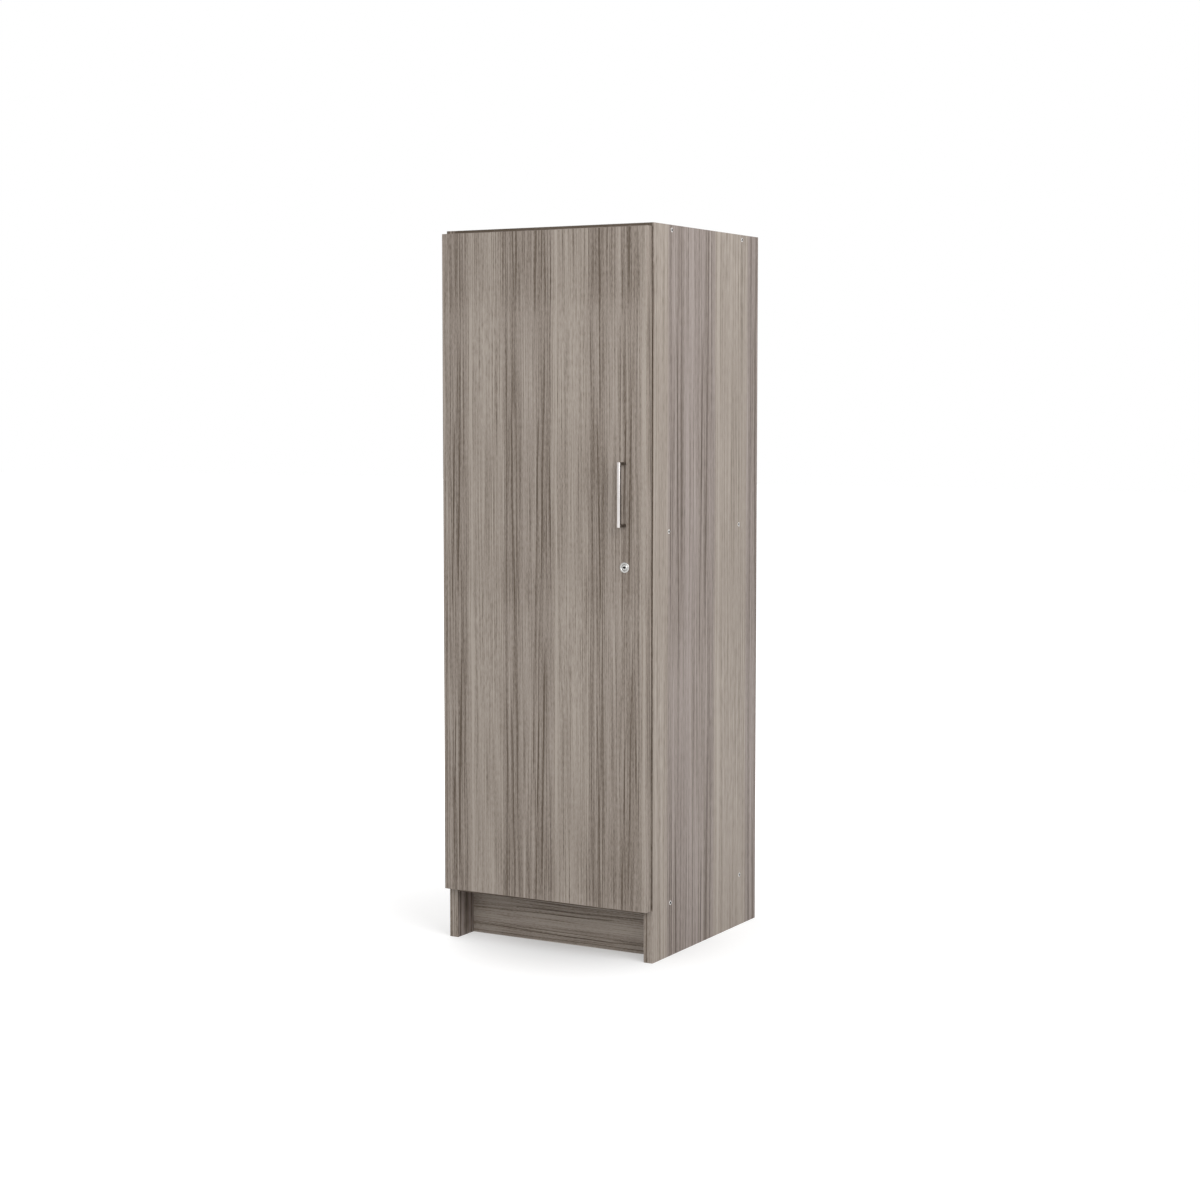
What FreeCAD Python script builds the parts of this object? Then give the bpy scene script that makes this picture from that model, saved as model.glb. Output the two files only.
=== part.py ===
import FreeCAD, Part
import os
import re
import Sketcher

os.makedirs("parts", exist_ok=True)
doc = FreeCAD.newDocument("tall_cabinet")

# Driving dimensions in millimetres, one sheet row each
sizes = {
    # Carcass
    "width": 600,
    "height": 1829,
    "depth": 587,
    "side_board": 25,
    "top_board": 25,
    "bottom_board": 25,
    "middle_board": 25,
    "shelf_board": 25,
    "toe_height": 122.5,
    "toe_recess": 75,
    "toe_board": 19,
    "middle_height": 1059.5,
    "back_board": 6,
    "back_inset": 19,
    "groove_depth": 8,
    "band": 1,
    "band_round": 0.6,
    # Adjustable shelves and their pins
    "shelf_side_gap": 1,
    "shelf_front_gap": 5,
    "shelf_rear_gap": 2,
    "pin_radius": 2.5,
    "pin_hole_depth": 10,
    "pin_reach": 9,
    "pin_pad": 8,
    "pin_column": 60,
    "pin_pitch": 32,
    # Carcass screws, dowels and toe brackets
    "screw_spread": 394,
    "screw_radius": 3.5,
    "screw_length": 70,
    "screw_head_radius": 5.5,
    "screw_head_depth": 3.5,
    "screw_socket_radius": 2.6,
    "screw_socket_depth": 2.5,
    "dowel_radius": 4,
    "dowel_below": 25,
    "dowel_above": 15,
    "dowel_spread": 200,
    "bracket_leg": 30,
    "bracket_wall": 2,
    "bracket_height": 40,
    "bracket_lift": 40,
    "small_screw_radius": 2,
    "small_screw_length": 12,
    "small_head_radius": 3.8,
    "small_head_height": 1.8,
    # Door
    "door_board": 25,
    "door_gap": 2.5,
    "door_reveal": 3,
    "door_drop": 9,
    "door_low": 132,
    "bumper_radius": 5,
    "bumper_inset": 12,
    "bumper_clearance": 0.3,
    # Handle
    "handle_bar": 8,
    "handle_length": 160,
    "handle_reach": 32.5,
    "handle_low": 1086.5,
    "handle_round": 1.2,
    "handle_screw_radius": 2,
    "handle_screw_grip": 12,
    "handle_head_radius": 4,
    "handle_head_height": 2.4,
    # Cam lock
    "lock_inset": 64.3,
    "lock_height": 987,
    "lock_radius": 9.5,
    "lock_tail": 5,
    "lock_flange_radius": 13,
    "lock_flange": 2,
    "lock_flange_bevel": 1,
    "plug_radius": 7,
    "plug_clearance": 0.08,
    "plug_proud": 0.4,
    "plug_tail": 1.4,
    "key_slot_width": 6,
    "key_slot_height": 2,
    "key_slot_depth": 12,
    "nut_radius": 12.5,
    "nut_thickness": 4.4,
    "cam_length": 34,
    "cam_width": 14,
    "cam_thickness": 2.5,
    "cam_screw_radius": 2,
    "cam_screw_grip": 9,
    "cam_head_radius": 4.5,
    "cam_head_height": 2.2,
    "strike_gap": 1,
    "strike_wall": 2,
    "strike_reach": 18,
    "strike_leg": 32,
    "strike_height": 40,
    "strike_screw_pitch": 24,
    # Hinges
    "hinge_end": 100,
    "hinge_opening_edge": 5,
    "cup_radius": 17.5,
    "cup_depth": 13,
    "cup_wall": 1,
    "cup_wing_width": 12,
    "cup_wing_half": 28,
    "cup_wing_wall": 1,
    "cup_screw_side": 9.5,
    "cup_screw_half": 22.5,
    "cup_screw_length": 11,
    "cup_notch_depth": 4.5,
    "hinge_pin_radius": 1.25,
    "hinge_pin_clearance": 0.05,
    "link_layer": 4.4,
    "link_gap": 0.3,
    "link_half_width": 2,
    "link_end_radius": 2.6,
    "cheek_wall": 2,
    "cheek_gap": 0.2,
    "lug_wall": 4,
    "outer_arm_pin_in": 12,
    "outer_arm_pin_fore": 4.2,
    "inner_arm_pin_in": 12.4,
    "inner_arm_pin_fore": 8.8,
    "outer_cup_pin_side": 9.2,
    "outer_cup_pin_depth": 3.3,
    "inner_cup_pin_side": 8.7,
    "inner_cup_pin_depth": 6.8,
    "eye_shift_side": 1,
    "eye_shift_depth": 0.2,
    "eye_clearance": 1.35,
    "eye_wall": 1.4,
    "arm_wall": 2,
    "arm_front": 4,
    "arm_rear": 62,
    "plate_front": 20,
    "plate_rear": 58,
    "wing_wall": 2.5,
    "wing_depth": 16,
    "wing_half": 24,
    "wing_screw_set": 37,
    "wing_screw_half": 16,
    "wing_screw_radius": 2.5,
    "wing_screw_length": 13,
    "wing_head_radius": 4,
    "wing_head_height": 1.6,
    "arm_screw_first": 30,
    "arm_screw_second": 48,
    "arm_screw_radius": 2.4,
    "arm_screw_grip": 9,
    # Shared clearances
    "snug": 0.05,
    "overrun": 1,
}

# How far up their compartments the two hinges between the ends sit
lower_hinge_share = 0.75
upper_hinge_share = 0.25

# How far along an angle's leg its screw sits
leg_screw_share = 0.6

sheet = doc.addObject("Spreadsheet::Sheet", "dims")
for row, (alias, value) in enumerate(sizes.items(), 1):
    sheet.set(f"A{row}", alias)
    sheet.set(f"B{row}", str(value))
    sheet.setAlias(f"B{row}", alias)

# Places worked out from the driving dimensions (+X right, +Y back, +Z up, origin under the middle)
places = {
    "front": "(door_gap + door_board + handle_reach - depth) / 2",
    "rear": "front + depth",
    "left_in": "side_board - width / 2",
    "right_in": "width / 2 - side_board",
    "inner_width": "width - 2 * side_board",
    "bottom_top": "toe_height + bottom_board",
    "middle_top": "middle_height + middle_board",
    "top_under": "height - top_board",
    "back_face": "rear - back_inset - back_board",
    "low_bay": "(middle_height - bottom_top - 2 * shelf_board) / 3",
    "lower_under": "bottom_top + low_bay",
    "second_under": "lower_under + shelf_board + low_bay",
    "upper_under": "middle_top + (top_under - middle_top - shelf_board) / 2",
    "toe_rear": "front + toe_recess + toe_board",
    "door_back": "front - door_gap",
    "door_face": "door_back - door_board",
    "door_left": "door_reveal - width / 2",
    "door_width": "width - 2 * door_reveal",
    "door_top": "height - door_drop",
    "lock_x": "width / 2 - lock_inset",
    "lock_back": "door_back + lock_tail",
    "plug_rear": "lock_back + plug_tail",
    "cam_rear": "plug_rear + cam_thickness",
    "strike_face": "plug_rear - strike_gap - strike_wall",
    "cup_x": "door_left + hinge_opening_edge + cup_radius",
    "cup_screw_x": "cup_x + cup_screw_side",
    "cheek_low": "link_gap + link_layer + cheek_gap",
    "cheek_top": "cheek_low + cheek_wall",
    "lug_top": "cheek_low + lug_wall",
    "arm_in": "outer_arm_pin_in + link_end_radius",
    "spine_in": "arm_in - arm_wall",
    "bracket_middle": "bracket_lift + bracket_height / 2",
}

# Places that use a share
places["bracket_screw_set"] = f"bracket_leg * {leg_screw_share}"
places["strike_screw_set"] = f"strike_leg * {leg_screw_share}"

# Middles of the hinges, each clear of the shelves
hinge_heights = {
    "bottom": "(door_low + hinge_end)",
    "lower": f"(lower_under + shelf_board + low_bay * {lower_hinge_share})",
    "upper": f"(middle_top + (upper_under - middle_top) * {upper_hinge_share})",
    "top": "(door_top - hinge_end)",
}


def spelled(text):
    """Expression with named places written out and named sizes read from the sheet."""

    def word(match):
        name = match.group(0)
        if name in places:
            return "(" + spelled(places[name]) + ")"
        if name in sizes:
            return "dims." + name
        return name

    return re.sub(r"[a-z_]+", word, text)


def bind(item, **texts):
    """Bind properties of an object to expressions in named sizes."""
    for prop, text in texts.items():
        item.setExpression(prop, spelled(text))
    return item


def put(item, place):
    """Bind an object's place."""
    for axis, text in zip("xyz", place):
        item.setExpression(f"Placement.Base.{axis}", spelled(text))
    return item


def box(name, place, size):
    """Box from its lowest corner and its size along X, Y and Z."""
    item = doc.addObject("Part::Box", name)
    bind(item, Length=size[0], Width=size[1], Height=size[2])
    return put(item, place)


turns = {
    "x": FreeCAD.Rotation(FreeCAD.Vector(0, 1, 0), 90),
    "y": FreeCAD.Rotation(FreeCAD.Vector(1, 0, 0), -90),
    "z": FreeCAD.Rotation(),
}


def rod(name, axis, place, radius, length):
    """Cylinder that runs along +X, +Y or +Z from its first end."""
    item = doc.addObject("Part::Cylinder", name)
    item.Placement = FreeCAD.Placement(FreeCAD.Vector(), turns[axis])
    bind(item, Radius=radius, Height=length)
    return put(item, place)


def gather(name, items):
    """Separate solids kept together in one object."""
    item = doc.addObject("Part::Compound", name)
    item.Links = items
    return item


def join(name, items):
    """Solids grown into one."""
    item = doc.addObject("Part::MultiFuse", name)
    item.Shapes = items
    item.Refine = True
    return item


def cut(name, blank, tools):
    """Blank less its tools."""
    item = doc.addObject("Part::Cut", name)
    item.Base = blank
    item.Tool = tools[0] if len(tools) == 1 else join(name + "_tools", tools)
    return item


def across(side, near, far):
    """Start and length along X of what lies between two distances in from a side's outer face."""
    start = f"{near} - width / 2" if side == "left" else f"width / 2 - ({far})"
    return start, f"{far} - ({near})"


def outline_pad(name, plane, corners, length, place):
    """Body padded from a closed outline whose corners are bound to named sizes."""
    body = doc.addObject("PartDesign::Body", name)
    sketch = body.newObject("Sketcher::SketchObject", name + "_outline")
    origin = [item for item in body.Origin.OriginFeatures if item.Role == plane]
    sketch.AttachmentSupport = [(origin[0], "")]
    sketch.MapMode = "FlatFace"
    count = len(corners)
    for index in range(count):
        start = FreeCAD.Vector(index + 1, index * index + 1, 0)
        after = (index + 1) % count
        end = FreeCAD.Vector(after + 1, after * after + 1, 0)
        sketch.addGeometry(Part.LineSegment(start, end), False)
    for index in range(count):
        sketch.addConstraint(Sketcher.Constraint("Coincident", index, 2, (index + 1) % count, 1))
    for index, corner in enumerate(corners):
        for kind, text, now in zip(("DistanceX", "DistanceY"), corner, (index + 1, index * index + 1)):
            number = sketch.addConstraint(Sketcher.Constraint(kind, -1, 1, index, 1, now))
            sketch.setExpression(f"Constraints[{number}]", spelled(text))
    pad = body.newObject("PartDesign::Pad", name + "_pad")
    pad.Profile = sketch
    bind(pad, Length=length)
    put(body, place)
    return body


# Carcass panels

screw_rows = {
    "top": ("height - top_board / 2", "front + depth / 2"),
    "middle": ("middle_height + middle_board / 2", "(front + back_face) / 2"),
    "bottom": ("toe_height + bottom_board / 2", "front + depth / 2"),
}
shelf_unders = {"upper": "upper_under", "middle": "second_under", "lower": "lower_under"}
pin_columns = ("front + pin_column", "back_face - pin_column")


def carcass_screw_spots(rows):
    """Height and place along Y of the carcass screws in the named rows."""
    for row in rows:
        height_text, centre = screw_rows[row]
        for step in (-0.5, 0.5):
            yield height_text, f"{centre} + {step} * screw_spread"


def screw_end_holes(name, row):
    """Holes for the carcass screws in both ends of a panel."""
    holes = []
    for side in ("left", "right"):
        for height_text, along in carcass_screw_spots([row]):
            start, length = across(side, "side_board - overrun", "screw_length")
            radius = "screw_radius + snug"
            holes.append(rod(f"{name}_hole", "x", (start, along, height_text), radius, length))
    return holes


def side_panel(side):
    name = f"{side}_side_panel"
    start, length = across(side, "0", "side_board")
    blank = box(name + "_blank", (start, "front + band", "0"), (length, "depth - band", "height"))
    tools = []
    start, length = across(side, "side_board - groove_depth", "side_board + overrun")
    groove_size = (length, "back_board", "top_under - bottom_top + 2 * groove_depth")
    tools.append(box(name + "_groove", (start, "back_face", "bottom_top - groove_depth"), groove_size))
    for height_text, along in carcass_screw_spots(screw_rows):
        start, length = across(side, "-overrun", "side_board + overrun")
        radius = "screw_radius + snug"
        tools.append(rod(name + "_hole", "x", (start, along, height_text), radius, length))
        start, length = across(side, "-overrun", "screw_head_depth")
        radius = "screw_head_radius + snug"
        tools.append(rod(name + "_sink", "x", (start, along, height_text), radius, length))
    start, length = across(side, "side_board - pin_hole_depth", "side_board + overrun")
    for under in shelf_unders.values():
        for column in pin_columns:
            for step in (-1, 0, 1):
                spot = (start, column, f"{under} - pin_radius + {step} * pin_pitch")
                tools.append(rod(name + "_pin_hole", "x", spot, "pin_radius + snug", length))
    start, length = across(side, "side_board + bracket_wall - small_screw_length", "side_board + overrun")
    spot = (start, "toe_rear + bracket_screw_set", "bracket_middle")
    tools.append(rod(name + "_bracket_hole", "x", spot, "small_screw_radius + snug", length))
    return name, blank, tools


def left_side_panel():
    name, blank, tools = side_panel("left")
    start, length = across("left", "side_board + wing_wall - wing_screw_length", "side_board + overrun")
    for height_text in hinge_heights.values():
        for step in (-1, 1):
            spot = (start, "front + wing_screw_set", f"{height_text} + {step} * wing_screw_half")
            tools.append(rod(name + "_hinge_hole", "x", spot, "wing_screw_radius + snug", length))
    return cut(name, blank, tools)


def right_side_panel():
    name, blank, tools = side_panel("right")
    start, length = across("right", "side_board + strike_wall - small_screw_length", "side_board + overrun")
    for step in (-0.5, 0.5):
        spot = (start, "strike_face + strike_screw_set", f"lock_height + {step} * strike_screw_pitch")
        tools.append(rod(name + "_strike_hole", "x", spot, "small_screw_radius + snug", length))
    return cut(name, blank, tools)


def back_groove(name, height_text):
    """Groove across a panel for the back."""
    return box(name + "_groove", ("left_in - overrun", "back_face", height_text),
               ("inner_width + 2 * overrun", "back_board", "groove_depth + overrun"))


def top_panel():
    name = "top_panel"
    blank = box(name + "_blank", ("left_in", "front + band", "top_under"),
                ("inner_width", "depth - band", "top_board"))
    return cut(name, blank, [back_groove(name, "top_under - overrun")] + screw_end_holes(name, "top"))


def bottom_panel():
    name = "bottom_panel"
    blank = box(name + "_blank", ("left_in", "front + band", "toe_height"),
                ("inner_width", "depth - band", "bottom_board"))
    tools = [back_groove(name, "bottom_top - groove_depth")] + screw_end_holes(name, "bottom")
    for step in (-1, 0, 1):
        spot = (f"{step} * dowel_spread", "toe_rear - toe_board / 2", "toe_height - overrun")
        tools.append(rod(name + "_dowel_hole", "z", spot, "dowel_radius + snug", "dowel_above + overrun"))
    return cut(name, blank, tools)


def fixed_shelf():
    name = "fixed_shelf"
    blank = box(name + "_blank", ("left_in", "front + band", "middle_height"),
                ("inner_width", "back_face - front - band", "middle_board"))
    return cut(name, blank, screw_end_holes(name, "middle"))


def back_panel():
    return box("back_panel", ("left_in - groove_depth", "back_face", "bottom_top - groove_depth"),
               ("inner_width + 2 * groove_depth", "back_board", "top_under - bottom_top + 2 * groove_depth"))


def toe_kick():
    name = "toe_kick"
    blank = box(name + "_blank", ("left_in", "front + toe_recess", "0"),
                ("inner_width", "toe_board", "toe_height"))
    tools = []
    for step in (-1, 0, 1):
        spot = (f"{step} * dowel_spread", "toe_rear - toe_board / 2", "toe_height - dowel_below")
        tools.append(rod(name + "_dowel_hole", "z", spot, "dowel_radius + snug", "dowel_below + overrun"))
    for side in ("left", "right"):
        spot = (bracket_screw_x(side), "toe_rear + bracket_wall - small_screw_length",
                "bracket_middle")
        tools.append(rod(name + "_bracket_hole", "y", spot, "small_screw_radius + snug",
                         "small_screw_length + overrun"))
    return cut(name, blank, tools)


def loose_shelf(name, under):
    size = ("inner_width - 2 * shelf_side_gap", "back_face - front - shelf_front_gap - shelf_rear_gap - band",
            "shelf_board")
    return box(name, ("left_in + shelf_side_gap", "front + shelf_front_gap + band", under), size)


def shelf_pins():
    pins = []
    for side in ("left", "right"):
        for under in shelf_unders.values():
            for column in pin_columns:
                start, length = across(side, "side_board - pin_hole_depth", "side_board")
                shank = rod("pin_shank", "x", (start, column, f"{under} - pin_radius"), "pin_radius", length)
                start, length = across(side, "side_board", "side_board + pin_reach")
                pad = box("pin_pad", (start, f"{column} - pin_pad / 2", f"{under} - 2 * pin_radius"),
                          (length, "pin_pad", "2 * pin_radius"))
                pins.append(join("shelf_pin", [shank, pad]))
    return gather("shelf_pins", pins)


def carcass_screws():
    screws = []
    for side in ("left", "right"):
        for height_text, along in carcass_screw_spots(screw_rows):
            start, length = across(side, "0", "screw_length")
            shank = rod("screw_shank", "x", (start, along, height_text), "screw_radius", length)
            start, length = across(side, "0", "screw_head_depth")
            head = rod("screw_head", "x", (start, along, height_text), "screw_head_radius", length)
            start, length = across(side, "-overrun", "screw_socket_depth")
            socket = rod("screw_socket", "x", (start, along, height_text), "screw_socket_radius", length)
            screws.append(cut("carcass_screw", join("screw_blank", [shank, head]), [socket]))
    return gather("carcass_screws", screws)


def toe_kick_dowels():
    dowels = []
    for step in (-1, 0, 1):
        spot = (f"{step} * dowel_spread", "toe_rear - toe_board / 2", "toe_height - dowel_below")
        dowels.append(rod("dowel", "z", spot, "dowel_radius", "dowel_below + dowel_above"))
    return gather("toe_kick_dowels", dowels)


def bracket_screw_x(side):
    """Place along X of the screw from a toe bracket into the toe board."""
    return across(side, "side_board + bracket_screw_set", "side_board + bracket_screw_set")[0]


def small_screw(name, axis, seat, inward):
    """Pan-head screw: seat is the middle of the head's underside, inward the way the shank points."""
    index = "xyz".index(axis)
    shank_start = list(seat)
    head_start = list(seat)
    if inward > 0:
        head_start[index] = f"{seat[index]} - small_head_height"
    else:
        shank_start[index] = f"{seat[index]} - small_screw_length"
    shank = rod(name + "_shank", axis, shank_start, "small_screw_radius", "small_screw_length")
    head = rod(name + "_head", axis, head_start, "small_head_radius", "small_head_height")
    return join(name, [shank, head])


def toe_kick_brackets():
    brackets = []
    for side in ("left", "right"):
        start, length = across(side, "side_board", "side_board + bracket_leg")
        front_leg = box("bracket_front", (start, "toe_rear", "bracket_lift"),
                        (length, "bracket_wall", "bracket_height"))
        start, length = across(side, "side_board", "side_board + bracket_wall")
        side_leg = box("bracket_side", (start, "toe_rear", "bracket_lift"),
                       (length, "bracket_leg", "bracket_height"))
        hole_front = rod("bracket_hole", "y", (bracket_screw_x(side), "toe_rear - overrun", "bracket_middle"),
                         "small_screw_radius + snug", "bracket_wall + 2 * overrun")
        start, length = across(side, "side_board - overrun", "side_board + bracket_wall + overrun")
        hole_side = rod("bracket_hole", "x", (start, "toe_rear + bracket_screw_set", "bracket_middle"),
                        "small_screw_radius + snug", length)
        blank = join("bracket_blank", [front_leg, side_leg])
        brackets.append(cut("toe_bracket", blank, [hole_front, hole_side]))
    return gather("toe_kick_brackets", brackets)


def bracket_screws():
    screws = []
    for side, inward in (("left", -1), ("right", 1)):
        seat = [bracket_screw_x(side), "toe_rear + bracket_wall", "bracket_middle"]
        screws.append(small_screw("bracket_screw", "y", seat, -1))
        seat_x = across(side, "side_board + bracket_wall", "side_board + bracket_wall")[0]
        seat = [seat_x, "toe_rear + bracket_screw_set", "bracket_middle"]
        screws.append(small_screw("bracket_screw", "x", seat, inward))
    return gather("bracket_screws", screws)


def strip(name, place, size, run, outer):
    """Edge band that runs along one axis, with the two long edges of its outer face rounded."""
    corners = [("0", "0"), (size[0], "0"), (size[0], size[1]), ("0", size[1])]
    body = outline_pad(name, "XY_Plane", corners, size[2], place)
    doc.recompute()
    pad = body.Tip
    face_axis, limit = outer
    face_at = getattr(pad.Shape.BoundBox, face_axis.upper() + limit)
    edges = []
    for index, edge in enumerate(pad.Shape.Edges, 1):
        along = abs(getattr(edge.tangentAt(edge.FirstParameter), run)) > 0.5
        off_face = abs(getattr(edge.CenterOfMass, face_axis) - face_at)
        if along and off_face < sizes["band"] / 2:
            edges.append(f"Edge{index}")
    rounding = body.newObject("PartDesign::Fillet", name + "_round")
    rounding.Base = (pad, edges)
    bind(rounding, Radius="band_round")
    return body


def side_edge_bands():
    bands = []
    for side in ("left", "right"):
        start, length = across(side, "0", "side_board")
        size = (length, "band", "height")
        bands.append(strip(f"side_band_{side}", (start, "front", "0"), size, "z", ("y", "Min")))
    return gather("side_edge_bands", bands)


def panel_edge_bands():
    bands = []
    fronts = (("top", "top_under"), ("middle", "middle_height"), ("bottom", "toe_height"))
    for panel, under in fronts:
        size = ("inner_width", "band", f"{panel}_board")
        bands.append(strip(f"panel_band_{panel}", ("left_in", "front", under), size, "x", ("y", "Min")))
    return gather("panel_edge_bands", bands)


def shelf_edge_bands():
    bands = []
    for shelf, under in shelf_unders.items():
        place = ("left_in + shelf_side_gap", "front + shelf_front_gap", under)
        size = ("inner_width - 2 * shelf_side_gap", "band", "shelf_board")
        bands.append(strip(f"shelf_band_{shelf}", place, size, "x", ("y", "Min")))
    return gather("shelf_edge_bands", bands)


# Door

handle_ends = ("handle_low + handle_bar / 2", "handle_low + handle_length - handle_bar / 2")


def door_panel():
    name = "door_panel"
    blank = box(name + "_blank", ("door_left + band", "door_face", "door_low + band"),
                ("door_width - 2 * band", "door_board", "door_top - door_low - 2 * band"))
    tools = []
    for height_text in hinge_heights.values():
        spot = ("cup_x", "door_back - cup_depth", height_text)
        tools.append(rod(name + "_cup_bore", "y", spot, "cup_radius + snug", "cup_depth + overrun"))
        for step in (-1, 1):
            spot = ("cup_screw_x", "door_back + cup_wing_wall - cup_screw_length",
                    f"{height_text} + {step} * cup_screw_half")
            tools.append(rod(name + "_cup_hole", "y", spot, "small_screw_radius + snug",
                             "cup_screw_length + overrun"))
    for end in handle_ends:
        spot = ("lock_x", "door_face - overrun", end)
        tools.append(rod(name + "_handle_hole", "y", spot, "handle_screw_radius + snug",
                         "door_board + 2 * overrun"))
    spot = ("lock_x", "door_face - overrun", "lock_height")
    tools.append(rod(name + "_lock_bore", "y", spot, "lock_radius + snug", "door_board + 2 * overrun"))
    return cut(name, blank, tools)


def door_edge_bands():
    tall = ("band", "door_board", "door_top - door_low")
    wide = ("door_width - 2 * band", "door_board", "band")
    right = "door_left + door_width - band"
    bands = [
        strip("door_band_left", ("door_left", "door_face", "door_low"), tall, "z", ("x", "Min")),
        strip("door_band_right", (right, "door_face", "door_low"), tall, "z", ("x", "Max")),
        strip("door_band_low", ("door_left + band", "door_face", "door_low"), wide, "x", ("z", "Min")),
        strip("door_band_top", ("door_left + band", "door_face", "door_top - band"), wide, "x", ("z", "Max")),
    ]
    return gather("door_edge_bands", bands)


def handle():
    """Square bar with its two legs in one piece, drawn lying flat, then stood up against the door."""
    reach = "handle_reach"
    inner = "handle_reach - handle_bar"
    corners = [
        ("0", "0"), (reach, "0"), (reach, "handle_length"), ("0", "handle_length"),
        ("0", "handle_length - handle_bar"), (inner, "handle_length - handle_bar"), (inner, "handle_bar"),
        ("0", "handle_bar"),
    ]
    name = "handle"
    body = outline_pad(name + "_bar", "XY_Plane", corners, "handle_bar", ("0", "0", "0"))
    doc.recompute()
    pad = body.Tip
    edges = []
    for index, edge in enumerate(pad.Shape.Edges, 1):
        if edge.CenterOfMass.x > sizes["handle_reach"] - sizes["handle_bar"] / 2:
            edges.append(f"Edge{index}")
    rounding = body.newObject("PartDesign::Fillet", name + "_round")
    rounding.Base = (pad, edges)
    bind(rounding, Radius="handle_round")
    reach_way = FreeCAD.Vector(0, -1, 0)
    length_way = FreeCAD.Vector(0, 0, 1)
    width_way = FreeCAD.Vector(-1, 0, 0)
    stand = FreeCAD.Rotation(reach_way, length_way, width_way, "XYZ")
    body.Placement = FreeCAD.Placement(FreeCAD.Vector(), stand)
    put(body, ("lock_x + handle_bar / 2", "door_face", "handle_low"))
    holes = []
    for end in handle_ends:
        spot = ("lock_x", "door_face - handle_screw_grip", end)
        holes.append(rod(name + "_hole", "y", spot, "handle_screw_radius + snug",
                         "handle_screw_grip + overrun"))
    return cut(name, body, holes)


def handle_screws():
    screws = []
    for end in handle_ends:
        spot = ("lock_x", "door_face - handle_screw_grip", end)
        shank = rod("handle_shank", "y", spot, "handle_screw_radius", "handle_screw_grip + door_board")
        spot = ("lock_x", "door_back", end)
        head = rod("handle_head", "y", spot, "handle_head_radius", "handle_head_height")
        screws.append(join("handle_screw", [shank, head]))
    return gather("handle_screws", screws)


def door_bumpers():
    bumpers = []
    for height_text in ("door_low + bumper_inset", "door_top - bumper_inset"):
        spot = ("door_left + door_width - bumper_inset", "door_back", height_text)
        bumpers.append(rod("bumper", "y", spot, "bumper_radius", "door_gap - bumper_clearance"))
    return gather("door_bumpers", bumpers)


# Cam lock


def lock_body():
    """Threaded barrel through the door with a face flange whose rim is bevelled."""
    barrel = rod("lock_barrel", "y", ("lock_x", "door_face", "lock_height"), "lock_radius",
                 "door_board + lock_tail")
    spot = ("lock_x", "door_face - lock_flange + lock_flange_bevel", "lock_height")
    flange = rod("lock_flange_disc", "y", spot, "lock_flange_radius", "lock_flange - lock_flange_bevel")
    rim = doc.addObject("Part::Cone", "lock_rim")
    rim.Placement = FreeCAD.Placement(FreeCAD.Vector(), turns["y"])
    bind(rim, Radius1="lock_flange_radius - lock_flange_bevel", Radius2="lock_flange_radius",
         Height="lock_flange_bevel")
    put(rim, ("lock_x", "door_face - lock_flange", "lock_height"))
    bore = rod("lock_bore", "y", ("lock_x", "door_face - lock_flange - overrun", "lock_height"),
               "plug_radius + plug_clearance", "lock_flange + door_board + lock_tail + 2 * overrun")
    return cut("lock_body", join("lock_blank", [barrel, flange, rim]), [bore])


def lock_nut():
    blank = doc.addObject("Part::Prism", "nut_blank")
    blank.Polygon = 6
    blank.Placement = FreeCAD.Placement(FreeCAD.Vector(), turns["y"])
    bind(blank, Circumradius="nut_radius", Height="nut_thickness")
    put(blank, ("lock_x", "door_back", "lock_height"))
    bore = rod("nut_bore", "y", ("lock_x", "door_back - overrun", "lock_height"), "lock_radius + snug",
               "nut_thickness + 2 * overrun")
    return cut("lock_nut", blank, [bore])


def lock_plug():
    length = "plug_proud + lock_flange + door_board + lock_tail + plug_tail"
    spot = ("lock_x", "door_face - lock_flange - plug_proud", "lock_height")
    barrel = rod("plug_barrel", "y", spot, "plug_radius", length)
    slot = box("key_slot", ("lock_x - key_slot_width / 2", "door_face - lock_flange - plug_proud - overrun",
                            "lock_height - key_slot_height / 2"),
               ("key_slot_width", "key_slot_depth + overrun", "key_slot_height"))
    spot = ("lock_x", "cam_rear - cam_screw_grip", "lock_height")
    hole = rod("plug_hole", "y", spot, "cam_screw_radius + snug", "cam_screw_grip + overrun")
    return cut("lock_plug", barrel, [slot, hole])


def lock_cam():
    arm = box("cam_arm", ("lock_x - cam_width / 2", "plug_rear", "lock_height"),
              ("cam_width", "cam_thickness", "cam_length"))
    boss = rod("cam_boss", "y", ("lock_x", "plug_rear", "lock_height"), "cam_width / 2", "cam_thickness")
    hole = rod("cam_hole", "y", ("lock_x", "plug_rear - overrun", "lock_height"), "cam_screw_radius + snug",
               "cam_thickness + 2 * overrun")
    return cut("lock_cam", join("cam_blank", [arm, boss]), [hole])


def cam_screw():
    shank = rod("cam_shank", "y", ("lock_x", "cam_rear - cam_screw_grip", "lock_height"), "cam_screw_radius",
                "cam_screw_grip")
    head = rod("cam_head", "y", ("lock_x", "cam_rear", "lock_height"), "cam_head_radius", "cam_head_height")
    return join("cam_screw", [shank, head])


def strike_plate():
    """Angle on the right side whose front leg the cam turns behind."""
    corners = [
        ("0", "0"), ("strike_reach", "0"), ("strike_reach", "strike_leg"),
        ("strike_reach - strike_wall", "strike_leg"), ("strike_reach - strike_wall", "strike_wall"),
        ("0", "strike_wall"),
    ]
    blank = outline_pad("strike_blank", "XY_Plane", corners, "strike_height",
                        ("right_in - strike_reach", "strike_face", "lock_height - strike_height / 2"))
    holes = []
    for step in (-0.5, 0.5):
        spot = ("right_in - strike_wall - overrun", "strike_face + strike_screw_set",
                f"lock_height + {step} * strike_screw_pitch")
        holes.append(rod("strike_hole", "x", spot, "small_screw_radius + snug", "strike_wall + 2 * overrun"))
    return cut("strike_plate", blank, holes)


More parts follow.
